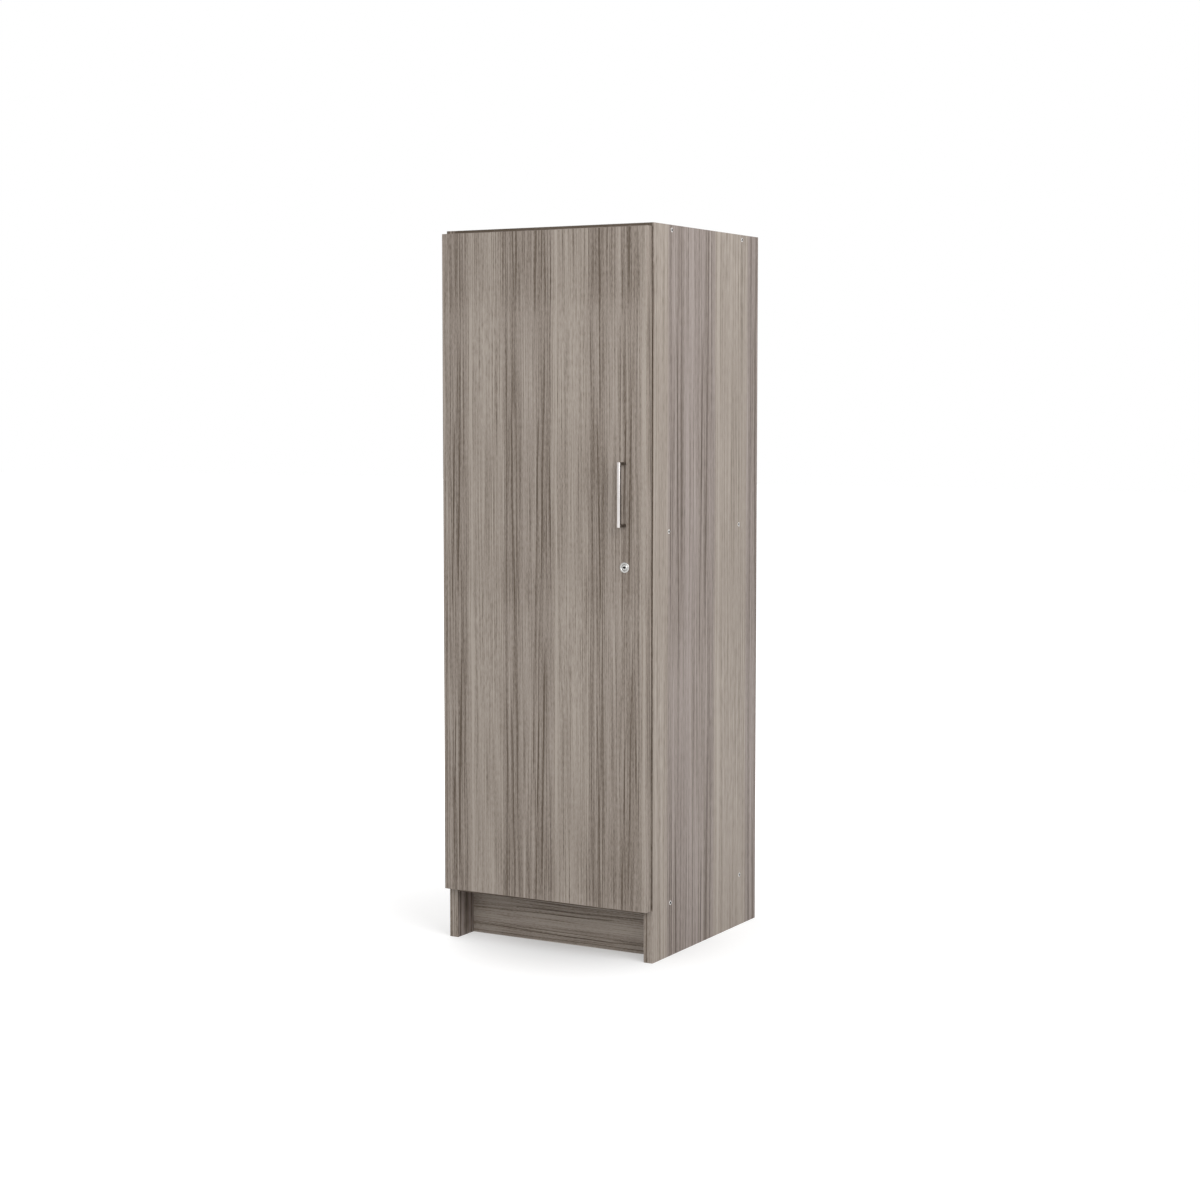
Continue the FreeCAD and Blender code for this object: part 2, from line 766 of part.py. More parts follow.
def strike_screws():
    screws = []
    for step in (-0.5, 0.5):
        seat = ["right_in - strike_wall", "strike_face + strike_screw_set",
                f"lock_height + {step} * strike_screw_pitch"]
        screws.append(small_screw("strike_screw", "x", seat, 1))
    return gather("strike_screws", screws)


# Hinges: the outer link runs in the upper layer and the inner link in the lower one

pins = {
    "outer_arm": ("left_in + outer_arm_pin_in", "front - outer_arm_pin_fore"),
    "inner_arm": ("left_in + inner_arm_pin_in", "front - inner_arm_pin_fore"),
    "outer_cup": ("cup_x - outer_cup_pin_side", "door_back - outer_cup_pin_depth"),
    "inner_cup": ("cup_x - inner_cup_pin_side", "door_back - inner_cup_pin_depth"),
    "inner_eye": ("cup_x - inner_cup_pin_side - eye_shift_side",
                  "door_back - inner_cup_pin_depth - eye_shift_depth"),
}


def layer(which, middle, low, high):
    """Start and length along Z of a layer that lies above the hinge's middle, or mirrored below it."""
    start = f"{middle} + {low}" if which == "outer" else f"{middle} - ({high})"
    return start, f"{high} - ({low})"


def hinge_plate(hinge):
    middle = hinge_heights[hinge]
    name = f"hinge_plate_{hinge}"
    spine = box(name + "_spine", ("left_in", "front + plate_front", f"{middle} - cheek_low + cheek_gap"),
                ("spine_in", "plate_rear - plate_front", "2 * (cheek_low - cheek_gap)"))
    place = ("left_in", "front + wing_screw_set - wing_depth / 2", f"{middle} - wing_half")
    wings = box(name + "_wings", place, ("wing_wall", "wing_depth", "2 * wing_half"))
    tools = []
    for step in (-1, 1):
        spot = ("left_in - overrun", "front + wing_screw_set", f"{middle} + {step} * wing_screw_half")
        tools.append(rod(name + "_hole", "x", spot, "wing_screw_radius + snug", "wing_wall + 2 * overrun"))
    for along in ("arm_screw_first", "arm_screw_second"):
        spot = ("left_in + spine_in - arm_screw_grip + arm_wall", f"front + {along}", middle)
        tools.append(rod(name + "_tap", "x", spot, "arm_screw_radius + snug", "arm_screw_grip + overrun"))
    return cut(name, join(name + "_blank", [spine, wings]), tools)


def hinge_arm(hinge):
    middle = hinge_heights[hinge]
    name = f"hinge_arm_{hinge}"
    solids = []
    tools = []
    for which in ("outer", "inner"):
        pin_x, pin_y = pins[which + "_arm"]
        start, length = layer(which, middle, "cheek_low", "cheek_top")
        solids.append(box(name + "_cheek", (f"{pin_x} - link_end_radius", pin_y, start),
                          ("2 * link_end_radius", f"front + arm_rear - ({pin_y})", length)))
        solids.append(rod(name + "_tip", "z", (pin_x, pin_y, start), "link_end_radius", length))
        start, length = layer(which, middle, "cheek_low - overrun", "cheek_top + overrun")
        tools.append(rod(name + "_pin_hole", "z", (pin_x, pin_y, start), "hinge_pin_radius", length))
    solids.append(box(name + "_web", ("left_in + spine_in", "front + arm_front", f"{middle} - cheek_top"),
                      ("arm_wall", "arm_rear - arm_front", "2 * cheek_top")))
    for along in ("arm_screw_first", "arm_screw_second"):
        spot = ("left_in + spine_in - overrun", f"front + {along}", middle)
        tools.append(rod(name + "_hole", "x", spot, "arm_screw_radius + snug", "arm_wall + 2 * overrun"))
    return cut(name, join(name + "_blank", solids), tools)


def hinge_cup(hinge):
    middle = hinge_heights[hinge]
    name = f"hinge_cup_{hinge}"
    bowl = rod(name + "_bowl", "y", ("cup_x", "door_back - cup_depth", middle), "cup_radius", "cup_depth")
    place = ("cup_screw_x - cup_wing_width / 2", "door_back", f"{middle} - cup_wing_half")
    wings = box(name + "_wings", place, ("cup_wing_width", "cup_wing_wall", "2 * cup_wing_half"))
    spot = ("cup_x", "door_back - cup_depth + cup_wall", middle)
    hollow = rod(name + "_hollow", "y", spot, "cup_radius - cup_wall", "cup_depth + cup_wing_wall + overrun")
    place = ("cup_x - cup_radius - overrun", "door_back - cup_notch_depth", f"{middle} - cheek_low")
    notch = box(name + "_notch", place, ("cup_radius", "cup_notch_depth + overrun", "2 * cheek_low"))
    tools = [hollow, notch]
    for step in (-1, 1):
        spot = ("cup_screw_x", "door_back - overrun", f"{middle} + {step} * cup_screw_half")
        tools.append(rod(name + "_hole", "y", spot, "small_screw_radius + snug",
                         "cup_wing_wall + 2 * overrun"))
    shell = cut(name + "_shell", join(name + "_blank", [bowl, wings]), tools)
    solids = [shell]
    holes = []
    for which in ("outer", "inner"):
        pin_x, pin_y = pins[which + "_cup"]
        start, length = layer(which, middle, "cheek_low", "lug_top")
        floor = "door_back - cup_depth + cup_wall / 2"
        solids.append(box(name + "_lug", (f"{pin_x} - link_end_radius", floor, start),
                          ("2 * link_end_radius", f"{pin_y} - ({floor})", length)))
        solids.append(rod(name + "_eye", "z", (pin_x, pin_y, start), "link_end_radius", length))
        start, length = layer(which, middle, "cheek_low - overrun", "lug_top + overrun")
        holes.append(rod(name + "_pin_hole", "z", (pin_x, pin_y, start), "hinge_pin_radius", length))
    return cut(name, join(name + "_solid", solids), holes)


running_hole = "hinge_pin_radius + hinge_pin_clearance"


def hinge_link(which, hinge, eye, eye_hole, eye_radius):
    """Flat link from its arm pin to its eye at the cup."""
    middle = hinge_heights[hinge]
    name = f"{which}_link_{hinge}"
    pin_x, pin_y = pins[which + "_arm"]
    eye_x, eye_y = pins[eye]
    span = f"sqrt(({eye_x} - ({pin_x})) ^ 2 + ({eye_y} - ({pin_y})) ^ 2)"
    start, length = layer(which, middle, "link_gap", "link_gap + link_layer")
    bar = box(name + "_bar", ("0", "0", "0"), (span, "2 * link_half_width", length))
    turn = f"atan2({eye_y} - ({pin_y}); {eye_x} - ({pin_x}))"
    bar.Placement = FreeCAD.Placement(FreeCAD.Vector(), FreeCAD.Rotation(FreeCAD.Vector(0, 0, 1), 1))
    bar.setExpression("Placement.Rotation.Angle", spelled(turn))
    across_x = f"link_half_width * ({eye_y} - ({pin_y})) / {span}"
    across_y = f"link_half_width * ({eye_x} - ({pin_x})) / {span}"
    put(bar, (f"{pin_x} + {across_x}", f"{pin_y} - {across_y}", start))
    root = rod(name + "_root", "z", (pin_x, pin_y, start), "link_end_radius", length)
    tip = rod(name + "_tip", "z", (eye_x, eye_y, start), eye_radius, length)
    start, length = layer(which, middle, "link_gap - overrun", "link_gap + link_layer + overrun")
    holes = [
        rod(name + "_root_hole", "z", (pin_x, pin_y, start), running_hole, length),
        rod(name + "_tip_hole", "z", (eye_x, eye_y, start), eye_hole, length),
    ]
    return cut(name, join(name + "_blank", [bar, root, tip]), holes)


def outer_link(hinge):
    return hinge_link("outer", hinge, "outer_cup", running_hole, "link_end_radius")


def inner_link(hinge):
    hole = "hinge_pin_radius + eye_clearance"
    return hinge_link("inner", hinge, "inner_eye", hole, f"{hole} + eye_wall")


def hinge_pins(name, end, high):
    items = []
    for middle in hinge_heights.values():
        for which in ("outer", "inner"):
            pin_x, pin_y = pins[f"{which}_{end}"]
            start, length = layer(which, middle, "link_gap", high)
            items.append(rod("hinge_pin", "z", (pin_x, pin_y, start), "hinge_pin_radius", length))
    return gather(name, items)


def hinge_plate_screws():
    screws = []
    for middle in hinge_heights.values():
        for step in (-1, 1):
            spot_z = f"{middle} + {step} * wing_screw_half"
            spot = ("left_in + wing_wall - wing_screw_length", "front + wing_screw_set", spot_z)
            shank = rod("plate_shank", "x", spot, "wing_screw_radius", "wing_screw_length")
            spot = ("left_in + wing_wall", "front + wing_screw_set", spot_z)
            head = rod("plate_head", "x", spot, "wing_head_radius", "wing_head_height")
            screws.append(join("plate_screw", [shank, head]))
    return gather("hinge_plate_screws", screws)


def hinge_arm_screws():
    screws = []
    for middle in hinge_heights.values():
        for along in ("arm_screw_first", "arm_screw_second"):
            spot = ("left_in + arm_in - arm_screw_grip", f"front + {along}", middle)
            shank = rod("arm_shank", "x", spot, "arm_screw_radius", "arm_screw_grip")
            spot = ("left_in + arm_in", f"front + {along}", middle)
            head = rod("arm_head", "x", spot, "small_head_radius", "small_head_height")
            screws.append(join("arm_screw", [shank, head]))
    return gather("hinge_arm_screws", screws)


def hinge_cup_screws():
    screws = []
    for middle in hinge_heights.values():
        for step in (-1, 1):
            spot_z = f"{middle} + {step} * cup_screw_half"
            spot = ("cup_screw_x", "door_back + cup_wing_wall - cup_screw_length", spot_z)
            shank = rod("cup_shank", "y", spot, "small_screw_radius", "cup_screw_length")
            spot = ("cup_screw_x", "door_back + cup_wing_wall", spot_z)
            head = rod("cup_head", "y", spot, "small_head_radius", "small_head_height")
            screws.append(join("cup_screw", [shank, head]))
    return gather("hinge_cup_screws", screws)


nodes = [
    left_side_panel(),
    right_side_panel(),
    top_panel(),
    bottom_panel(),
    fixed_shelf(),
    back_panel(),
    toe_kick(),
    loose_shelf("upper_shelf", "upper_under"),
    loose_shelf("middle_shelf", "second_under"),
    loose_shelf("lower_shelf", "lower_under"),
    shelf_pins(),
    carcass_screws(),
    toe_kick_dowels(),
    toe_kick_brackets(),
    bracket_screws(),
    side_edge_bands(),
    panel_edge_bands(),
    shelf_edge_bands(),
    door_panel(),
    door_edge_bands(),
    handle(),
    handle_screws(),
    door_bumpers(),
    lock_body(),
    lock_nut(),
    lock_plug(),
    lock_cam(),
    cam_screw(),
    strike_plate(),
    strike_screws(),
    hinge_pins("hinge_arm_pins", "arm", "cheek_top"),
    hinge_pins("hinge_cup_pins", "cup", "lug_top"),
    hinge_plate_screws(),
    hinge_arm_screws(),
    hinge_cup_screws(),
]
for hinge in hinge_heights:
    nodes += [hinge_plate(hinge), hinge_arm(hinge), hinge_cup(hinge), outer_link(hinge), inner_link(hinge)]

doc.recompute()
for item in doc.Objects:
    faults = [word for word in item.State if word in ("Invalid", "Error")]
    if faults:
        raise RuntimeError(f"{item.Label} did not compute: {item.State}")
for node in nodes:
    if node.Shape.isNull() or not node.Shape.isValid():
        raise RuntimeError(f"{node.Label} has no sound shape")
    node.Shape.exportStep(f"parts/{node.Label}.step")
print(len(nodes), "nodes")
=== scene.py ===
"""Tall laminate cabinet: finishes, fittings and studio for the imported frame."""
import math
from collections import namedtuple

import bmesh
import bpy
from bpy.props import FloatProperty, FloatVectorProperty, IntProperty, PointerProperty
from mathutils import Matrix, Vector


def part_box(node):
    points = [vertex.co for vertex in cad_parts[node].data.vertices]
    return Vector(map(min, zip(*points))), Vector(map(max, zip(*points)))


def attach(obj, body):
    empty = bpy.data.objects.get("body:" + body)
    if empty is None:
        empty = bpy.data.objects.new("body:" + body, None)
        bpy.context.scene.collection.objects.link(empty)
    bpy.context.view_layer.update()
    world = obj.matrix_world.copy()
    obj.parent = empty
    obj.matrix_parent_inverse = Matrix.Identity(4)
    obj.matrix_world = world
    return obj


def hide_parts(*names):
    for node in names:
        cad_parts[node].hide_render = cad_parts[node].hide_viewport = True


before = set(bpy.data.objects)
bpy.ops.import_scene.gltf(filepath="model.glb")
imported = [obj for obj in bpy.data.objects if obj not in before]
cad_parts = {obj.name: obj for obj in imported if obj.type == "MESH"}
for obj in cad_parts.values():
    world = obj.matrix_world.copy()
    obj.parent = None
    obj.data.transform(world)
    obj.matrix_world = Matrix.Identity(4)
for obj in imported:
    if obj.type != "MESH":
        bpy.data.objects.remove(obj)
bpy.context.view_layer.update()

bl_info = {
    "name": "Tall cabinet dresser",
    "version": (1, 0, 0),
    "blender": (4, 5, 0),
    "location": "View3D > Sidebar > Cabinet",
    "description": "Finishes, fittings and studio for a tall cabinet",
    "category": "Object",
}

HINGES = ("bottom", "lower", "upper", "top")
# Edges that turn more than this stay sharp
SHARP_DEGREES = 32.0
# Slack where values are compared or divided
TINY = 1e-6


# Settings


class LaminateSettings(bpy.types.PropertyGroup):
    """Printed wood laminate of the boards"""

    pale: FloatVectorProperty(
        name="Pale", description="Palest bands", subtype="COLOR", default=(0.415, 0.362, 0.314))
    middle: FloatVectorProperty(
        name="Middle", description="Ground tone", subtype="COLOR", default=(0.297, 0.252, 0.215))
    deep: FloatVectorProperty(
        name="Deep", description="Deeper tone", subtype="COLOR", default=(0.214, 0.175, 0.142))
    dark: FloatVectorProperty(
        name="Dark", description="Darkest streaks", subtype="COLOR", default=(0.102, 0.077, 0.056))
    mauve: FloatVectorProperty(
        name="Mauve", description="Cooler tint", subtype="COLOR", default=(0.922, 0.914, 1.0))
    door_repeat: FloatProperty(
        name="Door repeat", description="Width of one repeat on the door", unit="LENGTH", default=0.250)
    side_repeat: FloatProperty(
        name="Side repeat", description="Width of one repeat on a side", unit="LENGTH", default=0.446)
    repeat_length: FloatProperty(
        name="Repeat length", description="Length of one repeat, counted in its widths", default=3.0)
    roughness: FloatProperty(
        name="Roughness", description="Roughness of the matt face", subtype="FACTOR", default=0.56)
    pore_depth: FloatProperty(
        name="Pore depth", description="Depth of the embossed pores", unit="LENGTH", default=0.00012)


class MetalSettings(bpy.types.PropertyGroup):
    """Metals of the handle, lock, hinges and screws"""

    satin: FloatVectorProperty(
        name="Satin", description="Satin nickel of the handle", subtype="COLOR", default=(0.64, 0.612, 0.596))
    # Satin nickel darkened for the handle's legs: painted shade and painted dark reflection
    dark: FloatVectorProperty(
        name="Dark", description="Nickel of the handle's legs", subtype="COLOR", default=(0.23, 0.205, 0.18))
    bright: FloatVectorProperty(
        name="Bright", description="Bright nickel of the lock", subtype="COLOR", default=(0.5, 0.494, 0.48))
    plated: FloatVectorProperty(
        name="Plated", description="Plating of the fittings", subtype="COLOR", default=(0.64, 0.632, 0.615))
    zinc: FloatVectorProperty(
        name="Zinc", description="Zinc plating of screws", subtype="COLOR", default=(0.900, 0.890, 0.872))
    satin_roughness: FloatProperty(
        name="Satin roughness", description="Roughness of the satin nickel", subtype="FACTOR", default=0.30)
    bright_roughness: FloatProperty(
        name="Bright roughness", description="Roughness of the bright nickel", subtype="FACTOR", default=0.17)
    plated_roughness: FloatProperty(
        name="Plated roughness", description="Roughness of the plating", subtype="FACTOR", default=0.34)


class HardwareSettings(bpy.types.PropertyGroup):
    """Sizes of the fittings that the solids leave plain"""

    handle_round: FloatProperty(
        name="Handle round", description="Rounding of the handle's edges", unit="LENGTH", default=0.0010)
    rim_round: FloatProperty(
        name="Rim round", description="Rounding of the lock's rim", unit="LENGTH", default=0.0011)
    groove_radius: FloatProperty(
        name="Groove radius", description="Radius of the plug's groove", unit="LENGTH", default=0.0086)
    groove_depth: FloatProperty(
        name="Groove depth", description="Depth of the plug's groove", unit="LENGTH", default=0.0008)
    plug_chamfer: FloatProperty(
        name="Plug chamfer", description="Chamfer round the lock's plug", unit="LENGTH", default=0.0007)
    key_hole: FloatProperty(
        name="Key hole", description="Radius of the keyhole's round middle", unit="LENGTH", default=0.0032)
    key_width: FloatProperty(
        name="Key width", description="Width of the keyhole's slot", unit="LENGTH", default=0.0100)
    key_height: FloatProperty(
        name="Key height", description="Height of the keyhole's slot", unit="LENGTH", default=0.0022)
    key_depth: FloatProperty(
        name="Key depth", description="Depth of the keyhole", unit="LENGTH", default=0.012)
    barrel_radius: FloatProperty(
        name="Barrel radius", description="Radius of the lock's barrel", unit="LENGTH", default=0.0095)
    thread_pitch: FloatProperty(
        name="Thread pitch", description="Pitch of the ridges on the barrel", unit="LENGTH", default=0.0010)
    thread_depth: FloatProperty(
        name="Thread depth", description="Depth of the ridges on the barrel", unit="LENGTH", default=0.0004)
    edge_round: FloatProperty(
        name="Edge round", description="Rounding of stamped and cast edges", unit="LENGTH", default=0.00030)
    cross_share: FloatProperty(
        name="Cross recess", description="Cross's share of its screw head", subtype="FACTOR", default=0.60)
    socket_share: FloatProperty(
        name="Socket", description="Socket's share of its screw head", subtype="FACTOR", default=0.70)
    turn_steps: IntProperty(
        name="Turn steps", description="Steps round a turned piece", default=72)


class StageSettings(bpy.types.PropertyGroup):
    """Floor, light and camera"""

    floor_size: FloatProperty(
        name="Floor size", description="Width of the floor", unit="LENGTH", default=60.0)
    floor_tone: FloatVectorProperty(
        name="Floor tone", description="Colour of the floor", subtype="COLOR", default=(0.62, 0.62, 0.62))
    sky_strength: FloatProperty(
        name="Sky strength", description="Light from all round", default=0.46)
    key_power: FloatProperty(
        name="Key power", description="Power of the right softbox", unit="POWER", default=134.0)
    front_power: FloatProperty(
        name="Front power", description="Power of the front softbox", unit="POWER", default=50.5)
    fill_power: FloatProperty(
        name="Fill power", description="Power of the fill softbox", unit="POWER", default=70.0)
    camera_place: FloatVectorProperty(
        name="Camera place", description="Where the camera stands", subtype="XYZ",
        default=(2.9367, -5.1858, 1.3901))
    camera_turn: FloatProperty(
        name="Camera turn", description="Turn of the camera to the left", subtype="ANGLE",
        default=math.radians(29.513))
    camera_dip: FloatProperty(
        name="Camera dip", description="Tilt of the camera below the level", subtype="ANGLE",
        default=math.radians(4.094))
    lens: FloatProperty(
        name="Lens", description="Focal length in millimetres", default=68.374)
    rise: FloatProperty(
        name="Rise", description="Vertical shift of the frame, in frame widths", default=-0.028)


# Node trees


class Net:
    """Adds nodes to a tree and joins them"""

    def __init__(self, tree):
        self.tree = tree

    def feed(self, socket, value):
        if isinstance(value, bpy.types.NodeSocket):
            self.tree.links.new(value, socket)
        else:
            socket.default_value = value

    def add(self, kind, inputs=None, **settings):
        node = self.tree.nodes.new(kind)
        for name, value in settings.items():
            setattr(node, name, value)
        for name, value in (inputs or {}).items():
            self.feed(node.inputs[name], value)
        return node

    def out(self, kind, inputs=None, **settings):
        """First output of a new node"""
        return self.add(kind, inputs, **settings).outputs[0]

    def math(self, operation, *values):
        node = self.add("ShaderNodeMath", operation=operation)
        for socket, value in zip(node.inputs, values):
            self.feed(socket, value)
        return node.outputs[0]

    def smooth(self, value, low, high, at_low, at_high):
        """Smooth step from one value to another"""
        limits = {"Value": value, "From Min": low, "From Max": high, "To Min": at_low, "To Max": at_high}
        return self.out("ShaderNodeMapRange", limits, interpolation_type="SMOOTHSTEP")

    def noise(self, across, along, detail):
        """Flat noise about zero"""
        place = self.out("ShaderNodeCombineXYZ", {"X": across, "Y": along})
        waves = {"Vector": place, "Scale": 1.0, "Detail": detail}
        return self.math("SUBTRACT", self.out("ShaderNodeTexNoise", waves, noise_dimensions="2D"), 0.5)

    def mix(self, share, first, second, blend="MIX"):
        """Blend of two colours"""
        node = self.add("ShaderNodeMix", {"Factor": share}, data_type="RGBA", blend_type=blend)
        colours = [socket for socket in node.inputs if socket.type == "RGBA"]
        self.feed(colours[0], first)
        self.feed(colours[1], second)
        return next(socket for socket in node.outputs if socket.type == "RGBA")

    def seen(self):
        """One for camera, glossy and transmission rays, and zero for all others"""
        path = self.add("ShaderNodeLightPath").outputs
        either = self.math("MAXIMUM", path["Is Camera Ray"], path["Is Glossy Ray"])
        return self.math("MAXIMUM", either, path["Is Transmission Ray"])


def opaque(colour):
    return (*colour, 1.0)


def new_material(name):
    """Material, the net of its tree, its shader and the place on the piece"""
    material = bpy.data.materials.new(name)
    material.use_nodes = True
    net = Net(material.node_tree)
    place = net.add("ShaderNodeTexCoord").outputs["Object"]
    return material, net, material.node_tree.nodes["Principled BSDF"], place


def surface(net, shader, colour, roughness, relief, depth, strength):
    """Feed a shader with its colour, roughness and fine relief"""
    bump = net.out("ShaderNodeBump", {"Height": relief, "Distance": depth, "Strength": strength})
    for name, value in (("Base Color", colour), ("Roughness", roughness), ("Normal", bump)):
        net.feed(shader.inputs[name], value)


def new_group(name, kind, inputs, outputs):
    """Node group with sockets of these types, the net of its tree and its given values"""
    group = bpy.data.node_groups.new(name, kind)
    for side, sockets in (("INPUT", inputs), ("OUTPUT", outputs)):
        for socket_type, names in sockets.items():
            for socket in names:
                group.interface.new_socket(socket, in_out=side, socket_type=socket_type)
    net = Net(group)
    return group, net, net.add("NodeGroupInput").outputs


# A streak of the print: its middle across and along a repeat, its lean over a whole repeat, half its width
# and length, how much it darkens (below zero) or lightens the ground, and the share of its width that fades
Streak = namedtuple("Streak", "across along lean half_width half_length depth soft", defaults=(1.0,))
STREAKS = (
    # Broad zones
    Streak(0.48, 0.5, 0.0, 0.222, 0.9, 0.08, 0.16),
    Streak(0.81, 0.5, 0.0, 0.104, 0.9, -0.065, 0.3),
    Streak(0.165, 0.5, 0.0, 0.12, 0.9, -0.065, 0.45),
    Streak(0.5, 0.1, 0.0, 0.18, 0.34, 0.06, 0.7),
    # Dark lines
    Streak(0.172, 0.5, -0.052, 0.016, 0.49, -0.3, 0.7),
    Streak(0.109, 0.5, -0.078, 0.012, 0.19, -0.34, 0.7),
    Streak(0.092, 0.78, -0.07, 0.012, 0.26, -0.22, 0.7),
    Streak(0.06, 0.3, -0.03, 0.01, 0.3, -0.12, 0.7),
    Streak(0.815, 0.64, 0.058, 0.014, 0.4, -0.32, 0.7),
    Streak(0.858, 0.5, 0.026, 0.015, 0.49, -0.16, 0.7),
    Streak(0.822, 0.12, 0.0, 0.013, 0.24, -0.17, 0.7),
    Streak(0.738, 0.5, 0.0, 0.025, 0.6, -0.12, 0.7),
    Streak(0.228, 0.36, 0.02, 0.011, 0.24, -0.13, 0.7),
    Streak(0.256, 0.72, 0.02, 0.011, 0.26, -0.15, 0.7),
    Streak(0.404, 0.55, 0.006, 0.01, 0.34, -0.1, 0.7),
    Streak(0.588, 0.62, 0.04, 0.01, 0.3, -0.11, 0.7),
    # Pale lines
    Streak(0.326, 0.5, 0.0, 0.034, 0.9, 0.2),
    Streak(0.322, 0.22, 0.02, 0.018, 0.32, 0.12),
    Streak(0.684, 0.44, 0.004, 0.016, 0.49, 0.15),
    Streak(0.772, 0.16, 0.0, 0.014, 0.24, 0.18),
    Streak(0.636, 0.54, 0.01, 0.014, 0.24, 0.08),
    Streak(0.985, 0.16, 0.0, 0.02, 0.24, 0.16),
    Streak(0.95, 0.5, 0.0, 0.04, 0.9, 0.06),
    Streak(0.076, 0.42, -0.04, 0.018, 0.18, 0.1),
    Streak(0.052, 0.84, -0.03, 0.03, 0.24, 0.08),
)
# Share of a streak's half length that fades
STREAK_FADE = 0.45

# A layer of noise: its waves across and along a repeat, its detail and how strongly it counts
Layer = namedtuple("Layer", "across along detail strength")
GRAIN = (
    Layer(7.0, 0.9, 1.0, 0.14),
    Layer(26.0, 1.2, 2.0, 0.18),
    Layer(60.0, 1.1, 3.0, 0.70),
    Layer(130.0, 2.4, 4.0, 1.15),
)
PORES = Layer(190.0, 56.0, 3.0, 0.66)
FLECKS = Layer(44.0, 24.0, 2.0, 0.14)
WANDER = Layer(2.0, 2.6, 1.0, 0.012)
RAGGED = Layer(16.0, 0.5, 2.0, 0.05)
TINT = Layer(3.0, 1.4, 1.0, 0.6)

# A zone of a repeat: its middle, how far it is flat to each side, how far it reaches and its height
Zone = namedtuple("Zone", "middle flat reach height")
FLECKED_ACROSS = Zone(0.50, 0.10, 0.20, 0.5)
FLECKED_ALONG = Zone(0.12, 0.10, 0.30, 1.0)
COOL = Zone(0.985, 0.27, 0.31, 0.9)

# The tone before any grain, how far it falls down a repeat and where it starts to climb back
GROUND = 0.5
FALL = 0.06
CLIMB_FROM = 0.90


def streaked_grain():
    """Node group that draws the print in repeats"""
    group, net, (straight, along, *_) = new_group(
        "Streaked grain", "ShaderNodeTree", {"NodeSocketFloat": ("Across", "Along")},
        {"NodeSocketFloat": ("Tone", "Pores", "Cast")})

    def grain(layer, across):
        return net.noise(net.math("MULTIPLY", across, layer.across),
                         net.math("MULTIPLY", along, layer.along), layer.detail)

    def laid(layer, across, ground):
        """Layer of noise on a ground"""
        return net.math("MULTIPLY_ADD", grain(layer, across), layer.strength, ground)

    def window(value, zone):
        """Height of a zone, wrapped to the repeat, and how far off its middle a place is"""
        off = net.math("WRAP", net.math("SUBTRACT", value, zone.middle), 0.5, -0.5)
        return net.smooth(net.math("ABSOLUTE", off), zone.flat, zone.reach, zone.height, 0.0), off

    across = laid(WANDER, straight, straight)
    pores = grain(PORES, across)
    tone = GROUND
    for layer in GRAIN:
        tone = laid(layer, across, tone)
    tone = net.math("MULTIPLY_ADD", pores, PORES.strength, tone)
    flecked = net.math("MULTIPLY", window(across, FLECKED_ACROSS)[0], window(along, FLECKED_ALONG)[0])
    strength = net.math("ADD", flecked, FLECKS.strength)
    tone = net.math("MULTIPLY_ADD", grain(FLECKS, across), strength, tone)
    down = net.math("FRACT", laid(RAGGED, across, along))
    tone = net.math("MULTIPLY_ADD", down, -FALL, net.math("ADD", tone, FALL / 2))
    tone = net.math("ADD", tone, net.smooth(down, CLIMB_FROM, 1.0, 0.0, FALL))
    for streak in STREAKS:
        length = Zone(streak.along, streak.half_length * (1 - STREAK_FADE), streak.half_length, 1.0)
        reach, off_along = window(along, length)
        leaned = net.math("MULTIPLY_ADD", off_along, -streak.lean, across)
        width = Zone(streak.across, streak.half_width * (1 - streak.soft), streak.half_width, streak.depth)
        body, _ = window(leaned, width)
        tone = net.math("MULTIPLY_ADD", body, reach, tone)
    cast = laid(TINT, across, window(across, COOL)[0])
    net.add("NodeGroupOutput", {"Tone": tone, "Pores": pores, "Cast": cast})
    return group


# How the print lies on a board: the axes across and along the grain, a repeat's width and where it starts,
# the lift of its tone, its cooler cast, its contrast, and the height above which a band gets painted shade
Lay = namedtuple("Lay", "across along repeat start_across start_along lift cast gain dark_from",
                 defaults=(0.0, 0.10, 1.0, None))

# Colours of the print and their places from dark to pale
RAMP = (("dark", 0.06), ("deep", 0.33), ("middle", 0.52), ("pale", 0.94))
# How much tone a band loses to painted gap shade, and half the height over which it starts
PAINTED_SHADE_DROP = 0.50
PAINTED_SHADE_BLEND = 0.003
# Gloss of the boards, and what the pores do to their roughness and relief
SHEEN = 0.32
PORE_ROUGHNESS = 0.25
PORE_STRENGTH = 0.5
# Fine relief of the metals and of the plain materials, and how far their roughness strays
MARK_DEPTH = 0.000004
MARK_STRENGTH = 0.25
CLOUD_WAVES = 60.0
MOTTLE_DEPTH = 0.0001
MOTTLE_STRENGTH = 0.3
NOISE_RANGE = (0.2, 0.8)
SMOOTHER = 0.06
ROUGHER = 0.08


